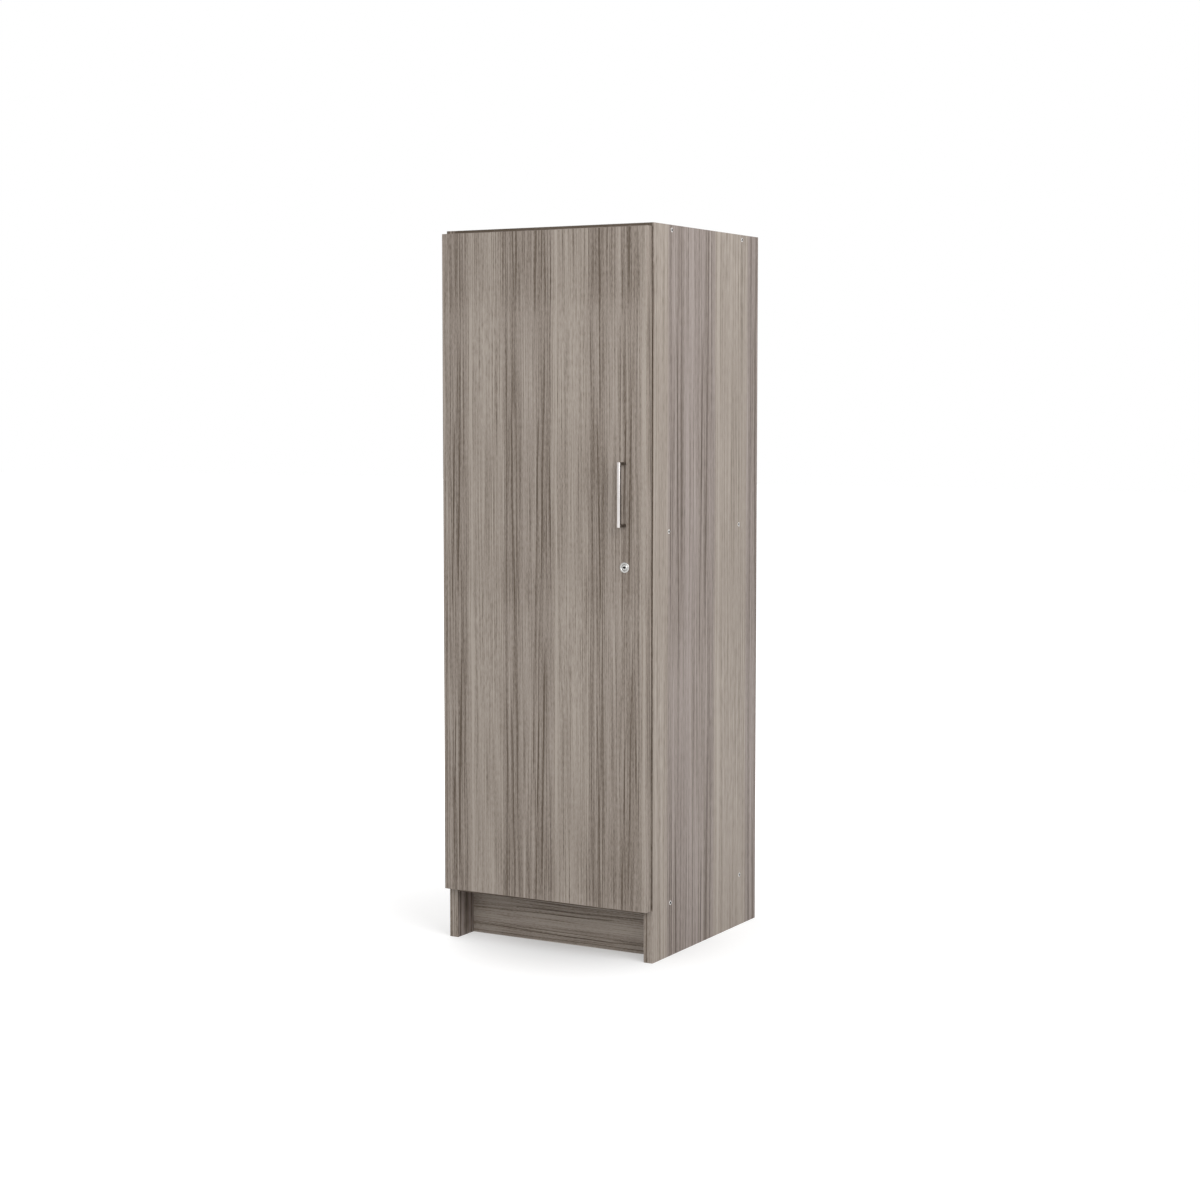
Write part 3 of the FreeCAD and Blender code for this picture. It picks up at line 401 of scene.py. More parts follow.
def laminate_material(name, lay, look):
    """Matt printed board"""
    material, net, shader, place = new_material(name)
    group = bpy.data.node_groups.get("Streaked grain") or streaked_grain()
    axes = net.add("ShaderNodeSeparateXYZ", {"Vector": place}).outputs

    def counted(names, start, unit):
        """Place along the summed axes, from a start, in units"""
        total = axes[names[0].upper()]
        for axis in names[1:]:
            total = net.math("ADD", total, axes[axis.upper()])
        return net.math("MULTIPLY_ADD", total, 1 / unit, -start / unit)

    places = {"Across": counted(lay.across, lay.start_across, lay.repeat),
              "Along": counted(lay.along, lay.start_along, -lay.repeat * look.repeat_length)}
    grain = net.add("ShaderNodeGroup", places, node_tree=group).outputs
    shift = GROUND - GROUND * lay.gain + lay.lift
    tone = net.math("MULTIPLY_ADD", grain["Tone"], lay.gain, shift)
    # Painted shade: above a height the band is darkened to stand in for the shade in the gap behind the door
    if lay.dark_from is not None:
        blend = (lay.dark_from - PAINTED_SHADE_BLEND, lay.dark_from + PAINTED_SHADE_BLEND)
        tone = net.math("SUBTRACT", tone, net.smooth(axes["Z"], *blend, 0.0, PAINTED_SHADE_DROP))
    ramp = net.add("ShaderNodeValToRGB", {"Fac": tone})
    stops = ramp.color_ramp.elements
    for stop, (shade, position) in zip(stops, (RAMP[0], RAMP[-1])):
        stop.position = position
        stop.color = opaque(getattr(look, shade))
    for shade, position in RAMP[1:-1]:
        stops.new(position).color = opaque(getattr(look, shade))
    share = net.smooth(grain["Cast"], 0.0, 1.0, 0.0, lay.cast)
    colour = net.mix(share, ramp.outputs[0], opaque(look.mauve), "MULTIPLY")
    roughness = net.math("MULTIPLY_ADD", grain["Pores"], PORE_ROUGHNESS, look.roughness)
    surface(net, shader, colour, roughness, grain["Pores"], look.pore_depth, PORE_STRENGTH)
    shader.inputs["Specular IOR Level"].default_value = SHEEN
    return material


def metal_material(name, colour, roughness, waves, wear=0.08):
    """Metal with fine marks; waves are the marks in a metre along X, Y and Z"""
    material, net, shader, place = new_material(name)
    stretched = net.out("ShaderNodeMapping", {"Vector": place, "Scale": waves})
    marks = net.out("ShaderNodeTexNoise", {"Vector": stretched, "Scale": 1.0, "Detail": 3.0})
    cloud = net.out("ShaderNodeTexNoise", {"Vector": place, "Scale": CLOUD_WAVES, "Detail": 2.0})
    shaded = tuple(channel * (1.0 - 2.0 * wear) for channel in colour)
    tint = net.mix(cloud, opaque(shaded), opaque(colour))
    gloss = net.smooth(marks, *NOISE_RANGE, roughness - SMOOTHER, roughness + ROUGHER)
    surface(net, shader, tint, gloss, marks, MARK_DEPTH, MARK_STRENGTH)
    shader.inputs["Metallic"].default_value = 1.0
    return material


def plain_material(name, first, second, scale, roughness, stretch=(1.0, 1.0, 1.0)):
    """Mottled material between two colours"""
    material, net, shader, place = new_material(name)
    stretched = net.out("ShaderNodeMapping", {"Vector": place, "Scale": stretch})
    mottle = net.out("ShaderNodeTexNoise", {"Vector": stretched, "Scale": scale, "Detail": 4.0})
    tint = net.mix(mottle, opaque(first), opaque(second))
    gloss = net.smooth(mottle, *NOISE_RANGE, roughness - SMOOTHER, roughness + SMOOTHER)
    surface(net, shader, tint, gloss, mottle, MOTTLE_DEPTH, MOTTLE_STRENGTH)
    return material


def shade_material():
    """Near-black painted shade of deep recesses"""
    return bpy.data.materials.get("Shaded recess") or plain_material(
        "Shaded recess", first=(0.01, 0.009, 0.008), second=(0.03, 0.028, 0.026), scale=700.0, roughness=0.6)


def dress(node, material):
    """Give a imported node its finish"""
    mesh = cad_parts[node].data
    mesh.materials.clear()
    mesh.materials.append(material)


# Meshes


# How near corners are joined on a turned shape and on a packed one
TURNED_WELD = 1e-7
PACKED_WELD = 2e-6
# Faces that turn less than this are one face, and edges that turn more than this are rounded
FLAT_DEGREES = 1.0
CORNER_DEGREES = 40.0


def add_piece(name, mesh, body, materials, replaced):
    """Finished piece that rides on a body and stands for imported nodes"""
    mesh.name = name
    for material in materials:
        if material.name not in mesh.materials:
            mesh.materials.append(material)
    piece = bpy.data.objects.new(name, mesh)
    bpy.context.scene.collection.objects.link(piece)
    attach(piece, body)
    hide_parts(*replaced)


def mesh_from(name, shape, sharp_degrees=SHARP_DEGREES):
    """Plain mesh from a worked shape, smooth but for its sharp edges"""
    mesh = bpy.data.meshes.new(name)
    shape.to_mesh(mesh)
    shape.free()
    mesh.shade_smooth()
    mesh.set_sharp_from_angle(angle=math.radians(sharp_degrees))
    return mesh


def turned(profile, centre, steps, shaded=()):
    """Shape turned about the Y axis from points of radius, which may follow the angle, and depth.

    A profile is closed on the axis or end to end. Runs after shaded points get the second material, painted
    shade.
    """
    shape = bmesh.new()
    rings = []
    for step in range(steps):
        angle = 2 * math.pi * step / steps
        ring = []
        for radius, depth in profile:
            reach = radius(angle) if callable(radius) else radius
            ring.append(shape.verts.new((centre.x + reach * math.cos(angle), depth,
                                         centre.z + reach * math.sin(angle))))
        rings.append(ring)
    count = len(profile)
    runs = count - 1 if profile[0][0] == profile[-1][0] == 0.0 else count
    for step in range(steps):
        here, after = rings[step], rings[(step + 1) % steps]
        for index in range(runs):
            follower = (index + 1) % count
            strip = shape.faces.new((here[index], here[follower], after[follower], after[index]))
            strip.material_index = 1 if index in shaded else 0
    bmesh.ops.remove_doubles(shape, verts=shape.verts, dist=TURNED_WELD)
    bmesh.ops.recalc_face_normals(shape, faces=shape.faces)
    return shape


def solids_of(node):
    """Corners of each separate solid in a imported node"""
    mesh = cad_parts[node].data
    spots = {}
    merged = [spots.setdefault(tuple(round(value, 6) for value in vertex.co), len(spots))
              for vertex in mesh.vertices]
    leader = list(range(len(spots)))

    def first(index):
        while leader[index] != index:
            leader[index] = leader[leader[index]]
            index = leader[index]
        return index

    for face in mesh.polygons:
        start = first(merged[face.vertices[0]])
        for corner in face.vertices[1:]:
            leader[first(merged[corner])] = start
    groups = {}
    for spot, index in spots.items():
        groups.setdefault(first(index), []).append(Vector(spot))
    return sorted(groups.values(), key=lambda corners: tuple(sum(corners, Vector()) / len(corners)))


def softened(node, width):
    """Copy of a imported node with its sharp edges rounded"""
    shape = bmesh.new()
    shape.from_mesh(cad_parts[node].data)
    bmesh.ops.remove_doubles(shape, verts=shape.verts, dist=PACKED_WELD)
    bmesh.ops.dissolve_limit(shape, angle_limit=math.radians(FLAT_DEGREES), verts=shape.verts,
                             edges=shape.edges)
    corner = math.radians(CORNER_DEGREES)
    sharp = [edge for edge in shape.edges if edge.is_manifold and edge.calc_face_angle() > corner]
    bmesh.ops.bevel(shape, geom=sharp, offset=width, offset_type="OFFSET", segments=1, affect="EDGES",
                    clamp_overlap=True)
    bmesh.ops.triangulate(shape, faces=[face for face in shape.faces if len(face.verts) > 4])
    return mesh_from(node + "_softened", shape)


# Screws


# Where a screw's head ends, which way it faces, and its sizes
Screw = namedtuple("Screw", "top facing head_radius head_height shank_radius shank_length")
# A row of screws: the body it rides on, the rounding of its heads, and its recess, which takes a share of the
# head, has lobes and dips between them
Row = namedtuple("Row", "body edge share lobes dip")
CROSS_ARMS = 4
CROSS_DIP = 0.62
SOCKET_SIDES = 6
SOCKET_DIP = 0.13
SCREW_STEPS = 36
# A corner is on a head's rim from this share of the widest reach, and on the tip when this near to its end
RIM_SHARE = 0.97
TIP_DEPTH = 1e-5
# How far a recess narrows to its floor, and the share of the head's height that it may take
RECESS_TAPER = 0.72
RECESS_LIMIT = 0.8


def screw_of(corners):
    """Read a screw from the corners of its solid"""
    low = Vector(min(corner[axis] for corner in corners) for axis in range(3))
    high = Vector(max(corner[axis] for corner in corners) for axis in range(3))
    size = high - low
    axis = max(range(3), key=lambda index: size[index])
    middle = (low + high) / 2

    def off_axis(corner):
        offset = corner - middle
        offset[axis] = 0.0
        return offset.length

    head_radius = max(off_axis(corner) for corner in corners)
    head = [corner[axis] for corner in corners if off_axis(corner) > RIM_SHARE * head_radius]
    outward = 1.0 if (min(head) + max(head)) / 2 > middle[axis] else -1.0
    tip = low[axis] if outward > 0 else high[axis]
    shank_radius = max(off_axis(corner) for corner in corners if abs(corner[axis] - tip) < TIP_DEPTH)
    facing = Vector()
    facing[axis] = outward
    top = middle.copy()
    top[axis] = high[axis] if outward > 0 else low[axis]
    head_height = max(head) - min(head)
    return Screw(top, facing, head_radius, head_height, shank_radius, size[axis] - head_height)


SCREW_INPUTS = {
    "NodeSocketGeometry": ("Geometry",),
    "NodeSocketFloat": ("Head Radius", "Head Height", "Edge", "Shank Radius", "Shank Length", "Recess Radius",
                        "Recess Depth", "Recess Dip"),
    "NodeSocketInt": ("Recess Lobes", "Steps", "Seed"),
    "NodeSocketMaterial": ("Material", "Recess Shade Material"),
}


def screw_tree():
    """Geometry tree that stands a screw with a lobed recess on every point"""
    outputs = {"NodeSocketGeometry": ("Geometry",)}
    group, net, given = new_group("Row of screws", "GeometryNodeTree", SCREW_INPUTS, outputs)
    shape = {"Vertices": given["Steps"], "Radius": given["Shank Radius"], "Depth": given["Shank Length"]}
    shank = net.add("GeometryNodeMeshCylinder", shape, fill_type="NGON")
    mesh, top = shank.outputs["Mesh"], shank.outputs["Top"]

    def grow(mesh, top, height, scale):
        """Pull the top face out by a height, then scale it about its middle"""
        reach = {"Mesh": mesh, "Selection": top, "Offset Scale": height}
        pulled = net.add("GeometryNodeExtrudeMesh", reach, mode="FACES")
        end = pulled.outputs["Top"]
        resized = {"Geometry": pulled.outputs["Mesh"], "Selection": end, "Scale": scale}
        return net.out("GeometryNodeScaleElements", resized), end, pulled.outputs["Side"]

    flat_radius = net.math("SUBTRACT", given["Head Radius"], given["Edge"])
    wide = net.math("DIVIDE", given["Head Radius"], given["Shank Radius"])
    trimmed = net.math("DIVIDE", flat_radius, given["Head Radius"])
    recess = net.math("DIVIDE", given["Recess Radius"], flat_radius)
    mesh, top, _ = grow(mesh, top, 0.0, wide)
    mesh, top, _ = grow(mesh, top, net.math("SUBTRACT", given["Head Height"], given["Edge"]), 1.0)
    mesh, top, _ = grow(mesh, top, given["Edge"], trimmed)
    mesh, top, _ = grow(mesh, top, 0.0, recess)
    place = net.out("GeometryNodeInputPosition")
    spread = net.add("ShaderNodeSeparateXYZ", {"Vector": place}).outputs
    angle = net.math("ARCTAN2", spread["Y"], spread["X"])
    wave = net.math("COSINE", net.math("MULTIPLY", angle, given["Recess Lobes"]))
    dip = net.math("MULTIPLY", given["Recess Dip"], net.math("MULTIPLY_ADD", wave, -0.5, 0.5))
    pull = net.math("SUBTRACT", 1.0, dip)
    drawn = {"X": net.math("MULTIPLY", spread["X"], pull), "Y": net.math("MULTIPLY", spread["Y"], pull)}
    lobed = net.out("ShaderNodeCombineXYZ", {**drawn, "Z": spread["Z"]})
    mesh = net.out("GeometryNodeSetPosition", {"Geometry": mesh, "Selection": top, "Position": lobed})
    mesh, floor, wall = grow(mesh, top, net.math("MULTIPLY", given["Recess Depth"], -1.0), RECESS_TAPER)
    sunk = net.out("FunctionNodeBooleanMath", {0: floor, 1: wall}, operation="OR")
    mesh = net.out("GeometryNodeStoreNamedAttribute", {"Geometry": mesh, "Name": "recess", "Value": sunk},
                   data_type="BOOLEAN", domain="FACE")
    drop = net.math("ADD", net.math("MULTIPLY", given["Shank Length"], -0.5),
                    net.math("MULTIPLY", given["Head Height"], -1.0))
    seat = net.out("ShaderNodeCombineXYZ", {"Z": drop})
    screw = net.out("GeometryNodeTransform", {"Geometry": mesh, "Translation": seat})
    facing = net.out("GeometryNodeInputNamedAttribute", {"Name": "facing"}, data_type="FLOAT_VECTOR")
    stand = net.out("FunctionNodeAlignRotationToVector", {"Vector": facing}, axis="Z")
    twist = net.add("FunctionNodeRandomValue", {"Seed": given["Seed"]}, data_type="FLOAT")
    most = next(socket for socket in twist.inputs if socket.name == "Max" and socket.type == "VALUE")
    net.feed(most, math.tau)
    turn = next(socket for socket in twist.outputs if socket.type == "VALUE")
    spin = net.out("FunctionNodeAxisAngleToRotation", {"Axis": (0.0, 0.0, 1.0), "Angle": turn})
    aim = net.out("FunctionNodeRotateRotation", {"Rotation": stand, "Rotate By": spin},
                  rotation_space="LOCAL")
    stood = {"Points": given["Geometry"], "Instance": screw, "Rotation": aim}
    rows = net.out("GeometryNodeInstanceOnPoints", stood)
    solid = net.out("GeometryNodeRealizeInstances", {"Geometry": rows})
    coated = net.out("GeometryNodeSetMaterial", {"Geometry": solid, "Material": given["Material"]})
    # The recess's floor and wall take the near-black of painted shade
    sunk = net.out("GeometryNodeInputNamedAttribute", {"Name": "recess"}, data_type="BOOLEAN")
    inside = {"Geometry": coated, "Selection": sunk, "Material": given["Recess Shade Material"]}
    net.add("NodeGroupOutput", {"Geometry": net.out("GeometryNodeSetMaterial", inside)})
    return group


def screw_row(node, row, materials, seed):
    """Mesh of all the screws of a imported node"""
    screws = [screw_of(corners) for corners in solids_of(node)]
    points = bpy.data.meshes.new(node + "_points")
    points.from_pydata([screw.top for screw in screws], [], [])
    facing = points.attributes.new("facing", "FLOAT_VECTOR", "POINT")
    for item, screw in zip(facing.data, screws):
        item.vector = screw.facing
    first = screws[0]
    group = bpy.data.node_groups.get("Row of screws") or screw_tree()
    carrier = bpy.data.objects.new(node + "_carrier", points)
    bpy.context.scene.collection.objects.link(carrier)
    rows = carrier.modifiers.new("Rows", "NODES")
    rows.node_group = group
    recess = row.share * first.head_radius
    values = {
        "Head Radius": first.head_radius, "Head Height": first.head_height, "Edge": row.edge,
        "Shank Radius": first.shank_radius, "Shank Length": first.shank_length, "Recess Radius": recess,
        "Recess Depth": min(recess, RECESS_LIMIT * first.head_height), "Recess Dip": row.dip,
        "Recess Lobes": row.lobes, "Steps": SCREW_STEPS, "Seed": seed, "Material": materials[0],
        "Recess Shade Material": materials[1],
    }
    for item in group.interface.items_tree:
        if item.in_out == "INPUT" and item.name in values:
            rows[item.identifier] = values[item.name]
    view = bpy.context.evaluated_depsgraph_get()
    mesh = bpy.data.meshes.new_from_object(carrier.evaluated_get(view))
    bpy.data.objects.remove(carrier)
    mesh.shade_smooth()
    mesh.set_sharp_from_angle(angle=math.radians(SHARP_DEGREES))
    return mesh


# Operators


# Width of a repeat on the toe board, as a share of the door's
TOE_SHARE = 0.72
# Marks in a metre along X, Y and Z on metal brushed upright and brushed towards the door
BRUSHED_UPRIGHT = (2600.0, 2600.0, 60.0)
BRUSHED_INWARD = (2600.0, 60.0, 2600.0)
# How much duller zinc and the small fittings are than the other plating
ZINC_DULLER = 0.06
FITTING_DULLER = 0.04
# How far behind the handle's bar its legs begin; the legs take nickel darkened as painted shade
LEG_START = 1e-4
# The gap round the lock's plug, the chamfer at its bore's mouth and the steps of the rim's rounding
PLUG_GAP = 0.00008
BORE_CHAMFER = 0.0003
RIM_STEPS = 5


class CABINET_OT_boards(bpy.types.Operator):
    """Print the laminate on the side panels, shelves, toe board and door"""

    bl_idname = "cabinet.boards"
    bl_label = "Boards"

    def execute(self, context):
        look = context.scene.cabinet_laminate
        door_low, door_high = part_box("door_panel")
        side_low, side_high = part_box("right_side_panel")
        door = look.door_repeat
        side = look.side_repeat
        toe_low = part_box("toe_kick")[0]
        lays = {
            "Door print": (Lay("x", "z", door, door_low.x + 0.005, door_high.z - 0.213, lift=0.01, gain=1.17),
                           ["door_panel"]),
            "Right side print": (Lay("yx", "z", side, side_low.y + side_high.x + 0.212, side_high.z + 0.207,
                                     lift=0.025, cast=0.72, gain=0.93), ["right_side_panel"]),
            "Left side print": (Lay("yx", "z", side, side_low.y - side_low.x - 0.038, side_high.z + 0.240,
                                    lift=0.025, cast=0.72, gain=0.93), ["left_side_panel"]),
            "Top print": (Lay("yz", "x", door, 0.030, 0.410), ["top_panel"]),
            "Bottom print": (Lay("yz", "x", door, -0.070, 0.120), ["bottom_panel"]),
            "Fixed shelf print": (Lay("yz", "x", door, 0.110, 0.260), ["fixed_shelf"]),
            "Loose shelf print": (Lay("yz", "x", door, 0.180, -0.050),
                                  ["upper_shelf", "middle_shelf", "lower_shelf"]),
            "Toe board print": (Lay("z", "x", TOE_SHARE * door, toe_low.z - 0.126, 0.330, lift=0.13, cast=0.0,
                                    gain=1.5), ["toe_kick"]),
            "Back print": (Lay("x", "z", side, 0.140, 1.300, lift=0.04, cast=0.40), ["back_panel"]),
        }
        for name, (lay, nodes) in lays.items():
            material = laminate_material(name, lay, look)
            for node in nodes:
                dress(node, material)
        return {"FINISHED"}


class CABINET_OT_edge_bands(bpy.types.Operator):
    """Give the edge bands a print that runs along them"""

    bl_idname = "cabinet.edge_bands"
    bl_label = "Edge bands"

    def execute(self, context):
        look = context.scene.cabinet_laminate
        door = look.door_repeat
        door_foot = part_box("door_edge_bands")[0].z
        bands = {
            "door_edge_bands": Lay("y", "xz", door, 0.020, 0.700),
            # Painted shade: the sides' front edges darken above the door's foot, standing in for the shade
            # behind the door
            "side_edge_bands": Lay("x", "z", door, 0.225, 1.100, lift=0.04, cast=0.0, gain=1.3,
                                   dark_from=door_foot),
            # Painted shade: the front edges of top, fixed shelf and bottom are darkened all over, for the
            # shade behind the door
            "panel_edge_bands": Lay("z", "x", door, 0.035, 0.200, dark_from=0.0),
            "shelf_edge_bands": Lay("z", "x", door, 0.060, 0.300, lift=-0.06),
        }
        for node, lay in bands.items():
            dress(node, laminate_material(node.replace("_", " ").capitalize(), lay, look))
        return {"FINISHED"}


class CABINET_OT_handle(bpy.types.Operator):
    """Form the square bar handle with rounded edges"""

    bl_idname = "cabinet.handle"
    bl_label = "Handle"

    def execute(self, context):
        metals = context.scene.cabinet_metals
        sizes = context.scene.cabinet_hardware
        low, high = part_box("handle")
        bar = high.x - low.x
        outline = [
            (high.y, low.z), (low.y, low.z), (low.y, high.z), (high.y, high.z), (high.y, high.z - bar),
            (low.y + bar, high.z - bar), (low.y + bar, low.z + bar), (high.y, low.z + bar),
        ]
        shape = bmesh.new()
        near = [shape.verts.new((low.x, depth, height)) for depth, height in outline]
        far = [shape.verts.new((high.x, depth, height)) for depth, height in outline]
        shape.faces.new(near)
        shape.faces.new(far[::-1])
        for index in range(len(outline)):
            after = (index + 1) % len(outline)
            shape.faces.new((near[index], far[index], far[after], near[after]))
        bmesh.ops.recalc_face_normals(shape, faces=shape.faces)
        free = [edge for edge in shape.edges if any(vertex.co.y < high.y - TINY for vertex in edge.verts)]
        bmesh.ops.bevel(shape, geom=free, offset=sizes.handle_round, offset_type="OFFSET", segments=3,
                        profile=0.5, affect="EDGES")
        for face in shape.faces:
            # Painted shade and painted dark reflection: the legs take a darkened copy of the satin nickel
            face.material_index = 1 if face.calc_center_median().y > low.y + bar + LEG_START else 0
        satin = metal_material("Satin nickel", metals.satin, metals.satin_roughness, BRUSHED_UPRIGHT)
        legs = metal_material("Leg nickel with painted shade", metals.dark, metals.satin_roughness, BRUSHED_INWARD)
        mesh = mesh_from("bar_handle", shape, sharp_degrees=20.0)
        add_piece("bar_handle", mesh, "door", [satin, legs], ["handle"])
        return {"FINISHED"}


class CABINET_OT_lock(bpy.types.Operator):
    """Turn the cam lock's face, barrel and plug, and finish its nut and cam"""

    bl_idname = "cabinet.lock"
    bl_label = "Cam lock"

    def execute(self, context):
        metals = context.scene.cabinet_metals
        sizes = context.scene.cabinet_hardware
        shade = shade_material()
        bright = metal_material("Bright nickel", metals.bright, metals.bright_roughness, (900.0,) * 3,
                                wear=0.04)
        low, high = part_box("lock_body")
        centre = (low + high) / 2
        rim = (high.x - low.x) / 2
        door_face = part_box("door_panel")[0].y
        nut_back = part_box("lock_nut")[1].y
        plug_low, plug_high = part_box("lock_plug")
        plug = (plug_high.x - plug_low.x) / 2
        bore = plug + PLUG_GAP
        barrel = sizes.barrel_radius
        groove, depth = sizes.groove_radius, sizes.groove_depth
        soft = sizes.rim_round
        outline = [(bore, high.y), (bore, low.y + BORE_CHAMFER), (bore + BORE_CHAMFER, low.y)]
        outline += [(groove - depth, low.y), (groove, low.y + depth), (groove + depth, low.y)]
        for step in range(RIM_STEPS + 1):
            angle = math.pi / 2 * step / RIM_STEPS
            outline.append((rim - soft + soft * math.sin(angle), low.y + soft - soft * math.cos(angle)))
        outline += [(rim, door_face), (barrel, door_face), (barrel, nut_back)]
        ridges = max(1, int((high.y - nut_back) / sizes.thread_pitch))
        pitch = (high.y - nut_back) / ridges
        for ridge in range(ridges):
            start = nut_back + ridge * pitch
            outline += [(barrel - sizes.thread_depth, start + pitch / 2), (barrel, start + pitch)]
        # The bore round the plug and its chamfer take the near-black of painted shade
        mesh = mesh_from("lock_face", turned(outline, centre, sizes.turn_steps, shaded=(0, 1)))
        add_piece("lock_face", mesh, "door", [bright, shade], ["lock_body"])

        def keyhole(angle):
            """Reach of a slot with a round middle"""
            wide = sizes.key_width / 2 / max(abs(math.cos(angle)), TINY)
            tall = sizes.key_height / 2 / max(abs(math.sin(angle)), TINY)
            return max(min(wide, tall), sizes.key_hole)

        chamfer = sizes.plug_chamfer
        key_end = plug_low.y + sizes.key_depth
        outline = [(0.0, plug_high.y), (plug, plug_high.y), (plug, plug_low.y + chamfer),
                   (plug - chamfer, plug_low.y), (keyhole, plug_low.y), (keyhole, key_end), (0.0, key_end)]
        # The keyhole's wall and floor take the near-black of painted shade
        mesh = mesh_from("lock_barrel", turned(outline, centre, sizes.turn_steps, shaded=(4, 5)))
        add_piece("lock_barrel", mesh, "lock", [bright, shade], ["lock_plug"])
        plated = metal_material("Lock plating", metals.plated, metals.plated_roughness, (700.0,) * 3)
        for node, name, body in (("lock_nut", "lock_hex_nut", "door"), ("lock_cam", "lock_tongue", "lock")):
            add_piece(name, softened(node, sizes.edge_round), body, [plated], [node])
        return {"FINISHED"}


class CABINET_OT_screws(bpy.types.Operator):
    """Drive every row of screws with Geometry Nodes"""

    bl_idname = "cabinet.screws"
    bl_label = "Screws"

    def execute(self, context):
        metals = context.scene.cabinet_metals
        sizes = context.scene.cabinet_hardware
        shade = shade_material()
        roughness = metals.plated_roughness + ZINC_DULLER
        zinc = metal_material("Zinc plating", metals.zinc, roughness, (800.0,) * 3, wear=0.12)
        cross = (sizes.cross_share, CROSS_ARMS, CROSS_DIP)
        rows = {
            "carcass_screws": Row("carcass", 0.0004, sizes.socket_share, SOCKET_SIDES, SOCKET_DIP),
            "bracket_screws": Row("carcass", 0.0006, *cross),
            "hinge_plate_screws": Row("carcass", 0.0004, *cross),
            "hinge_arm_screws": Row("carcass", 0.0004, *cross),
            "strike_screws": Row("carcass", 0.0006, *cross),
            "handle_screws": Row("door", 0.0007, *cross),
            "hinge_cup_screws": Row("door", 0.0006, *cross),
            "cam_screw": Row("lock", 0.0006, *cross),
        }
        for seed, (node, row) in enumerate(rows.items()):
            mesh = screw_row(node, row, (zinc, shade), seed)
            add_piece("driven_" + node, mesh, row.body, [zinc, shade], [node])
        return {"FINISHED"}


class CABINET_OT_hinges(bpy.types.Operator):
    """Round the stamped edges of the hinges and plate them"""

    bl_idname = "cabinet.hinges"
    bl_label = "Hinges"

    def execute(self, context):
        metals = context.scene.cabinet_metals
        sizes = context.scene.cabinet_hardware
        plated = metal_material("Hinge plating", metals.plated, metals.plated_roughness,
                                (500.0, 500.0, 900.0))
        bodies = {"hinge_plate": "carcass", "hinge_arm": "carcass", "hinge_cup": "door",
                  "outer_link": "outer_links", "inner_link": "inner_links"}
        for kind, body in bodies.items():
            for place in HINGES:
                node = f"{kind}_{place}"
                mesh = softened(node, sizes.edge_round)
                add_piece(f"stamped_{node}", mesh, body, [plated], [node])
        for node in ("hinge_arm_pins", "hinge_cup_pins"):
            dress(node, plated)
        return {"FINISHED"}


class CABINET_OT_fittings(bpy.types.Operator):
    """Finish the shelf pins, toe brackets, dowels, strike plate and bumpers"""

    bl_idname = "cabinet.fittings"
    bl_label = "Fittings"

    def execute(self, context):
        metals = context.scene.cabinet_metals
        sizes = context.scene.cabinet_hardware
        roughness = metals.plated_roughness + FITTING_DULLER
        plated = metal_material("Fitting plating", metals.plated, roughness, (600.0,) * 3)
        for node, name in (("strike_plate", "bent_strike_plate"), ("toe_kick_brackets", "bent_toe_brackets")):
            add_piece(name, softened(node, sizes.edge_round), "carcass", [plated], [node])
        dress("shelf_pins", plated)
        beech = plain_material("Dowel beech", first=(0.52, 0.36, 0.22), second=(0.66, 0.49, 0.32), scale=90.0,
                               roughness=0.7, stretch=(6.0, 6.0, 0.6))
        dress("toe_kick_dowels", beech)
        bumper = plain_material("Soft bumper", first=(0.62, 0.62, 0.60), second=(0.74, 0.74, 0.72),
                                scale=120.0, roughness=0.34)
        dress("door_bumpers", bumper)
        return {"FINISHED"}


# A soft lamp: its power, its width, its place and the point it faces
Lamp = namedtuple("Lamp", "name power size place target")
# Light that the floor gives of itself: the point it is counted from, the distances between which it changes,
# and its strengths there
Glow = namedtuple("Glow", "centre start stop at_start at_stop")
FLOOR_GLOW = Glow((0.25, -0.10, 0.0), 0.5, 2.2, 0.53, 0.92)
# Painted contact shadow: what is taken off that light near the toe board
PAINTED_CONTACT_SHADOW = Glow((0.04, -0.14, 0.0), 0.05, 0.50, 0.26, 0.0)


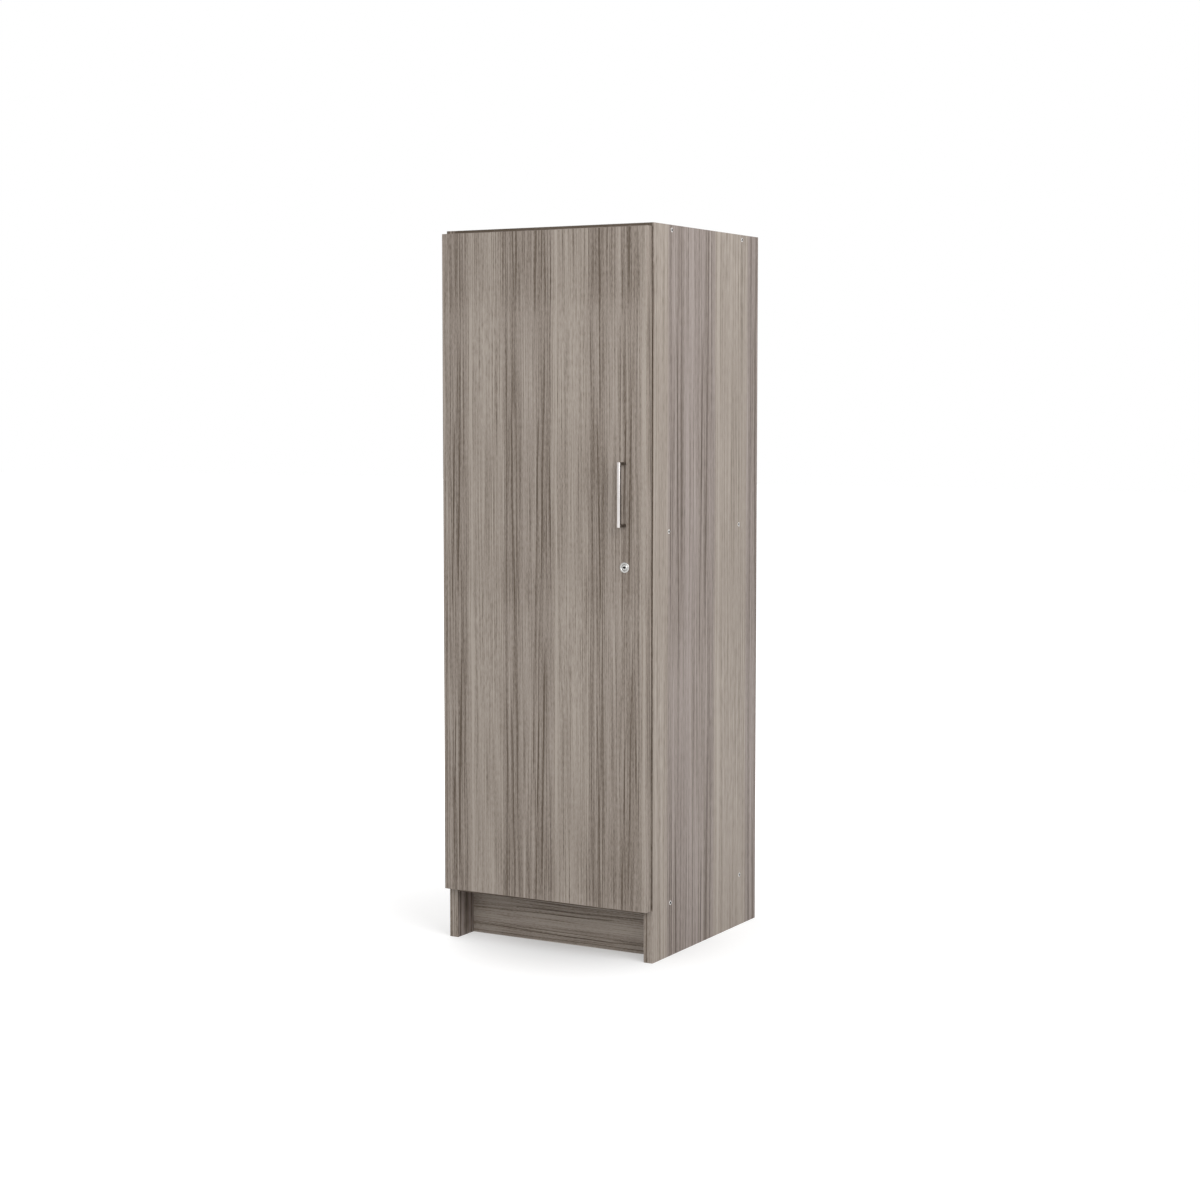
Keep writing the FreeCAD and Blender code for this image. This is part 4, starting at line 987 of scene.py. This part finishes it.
class CABINET_OT_stage(bpy.types.Operator):
    """Lay the floor and set the light and camera"""

    bl_idname = "cabinet.stage"
    bl_label = "Stage"

    def execute(self, context):
        scene = context.scene
        stage = scene.cabinet_stage
        scene.view_settings.view_transform = "Standard"
        self.lay_floor(scene, stage)
        self.light_sky(scene, stage)
        lamps = (
            Lamp("Right softbox", stage.key_power, 3.2, Vector((3.4, -1.7, 3.0)), Vector((0.0, 0.0, 0.9))),
            Lamp("Front softbox", stage.front_power, 3.0, Vector((0.2, -4.8, 2.6)), Vector((0.0, -0.2, 0.9))),
            Lamp("Fill softbox", stage.fill_power, 3.2, Vector((-3.4, 2.6, 2.8)), Vector((0.0, 0.0, 0.9))),
        )
        for lamp in lamps:
            self.hang_lamp(scene, lamp)
        lens = bpy.data.cameras.new("Camera")
        lens.sensor_width = 36.0
        lens.lens = stage.lens
        lens.shift_y = stage.rise
        camera = bpy.data.objects.new("Camera", lens)
        camera.location = stage.camera_place
        camera.rotation_euler = (math.pi / 2 - stage.camera_dip, 0.0, stage.camera_turn)
        scene.collection.objects.link(camera)
        scene.camera = camera
        return {"FINISHED"}

    def lay_floor(self, scene, stage):
        shape = bmesh.new()
        bmesh.ops.create_grid(shape, x_segments=4, y_segments=4, size=stage.floor_size / 2)
        floor = bpy.data.objects.new("Floor", mesh_from("Floor", shape))
        scene.collection.objects.link(floor)
        material = bpy.data.materials.new("Studio floor")
        material.use_nodes = True
        net = Net(material.node_tree)
        net.tree.nodes.clear()
        place = net.add("ShaderNodeTexCoord").outputs["Object"]

        def spread(glow):
            far = net.add("ShaderNodeVectorMath", {0: place, 1: glow.centre}, operation="DISTANCE")
            return net.smooth(far.outputs["Value"], glow.start, glow.stop, glow.at_start, glow.at_stop)

        # The floor's glow less the painted contact shadow
        white = net.math("SUBTRACT", spread(FLOOR_GLOW), spread(PAINTED_CONTACT_SHADOW))
        glow = net.math("MULTIPLY", net.seen(), white)
        matt = net.out("ShaderNodeBsdfDiffuse", {"Color": opaque(stage.floor_tone)})
        lift = net.out("ShaderNodeEmission", {"Strength": glow})
        both = net.out("ShaderNodeAddShader", {0: matt, 1: lift})
        net.add("ShaderNodeOutputMaterial", {"Surface": both})
        floor.data.materials.append(material)

    def light_sky(self, scene, stage):
        world = bpy.data.worlds.new("Studio")
        world.use_nodes = True
        scene.world = world
        net = Net(world.node_tree)
        net.tree.nodes.clear()
        strength = net.smooth(net.seen(), 0.0, 1.0, stage.sky_strength, 1.0)
        sky = net.out("ShaderNodeBackground", {"Color": (1.0, 1.0, 1.0, 1.0), "Strength": strength})
        net.add("ShaderNodeOutputWorld", {"Surface": sky})

    def hang_lamp(self, scene, lamp):
        light = bpy.data.lights.new(lamp.name, "AREA")
        light.energy = lamp.power
        light.size = lamp.size
        holder = bpy.data.objects.new(lamp.name, light)
        holder.location = lamp.place
        holder.rotation_euler = (lamp.target - lamp.place).to_track_quat("-Z", "Y").to_euler()
        scene.collection.objects.link(holder)


OPERATORS = (CABINET_OT_boards, CABINET_OT_edge_bands, CABINET_OT_handle, CABINET_OT_lock, CABINET_OT_screws,
             CABINET_OT_hinges, CABINET_OT_fittings, CABINET_OT_stage)


class CABINET_PT_panel(bpy.types.Panel):
    """Pieces of the cabinet and their settings"""

    bl_label = "Tall cabinet"
    bl_idname = "CABINET_PT_panel"
    bl_space_type = "VIEW_3D"
    bl_region_type = "UI"
    bl_category = "Cabinet"

    def draw(self, context):
        for operator in OPERATORS:
            self.layout.operator(operator.bl_idname)
        for name in SETTINGS:
            box = self.layout.box()
            group = getattr(context.scene, name)
            for setting in group.bl_rna.properties:
                if setting.identifier not in ("rna_type", "name"):
                    box.prop(group, setting.identifier)


SETTINGS = {
    "cabinet_laminate": LaminateSettings,
    "cabinet_metals": MetalSettings,
    "cabinet_hardware": HardwareSettings,
    "cabinet_stage": StageSettings,
}
CLASSES = (*SETTINGS.values(), *OPERATORS, CABINET_PT_panel)


def register():
    for kind in CLASSES:
        bpy.utils.register_class(kind)
    for name, kind in SETTINGS.items():
        setattr(bpy.types.Scene, name, PointerProperty(type=kind))


def unregister():
    for name in SETTINGS:
        delattr(bpy.types.Scene, name)
    for kind in reversed(CLASSES):
        bpy.utils.unregister_class(kind)


def main():
    register()
    bpy.ops.cabinet.boards()
    bpy.ops.cabinet.edge_bands()
    bpy.ops.cabinet.handle()
    bpy.ops.cabinet.lock()
    bpy.ops.cabinet.screws()
    bpy.ops.cabinet.hinges()
    bpy.ops.cabinet.fittings()
    bpy.ops.cabinet.stage()


if __name__ == "__main__":
    main()
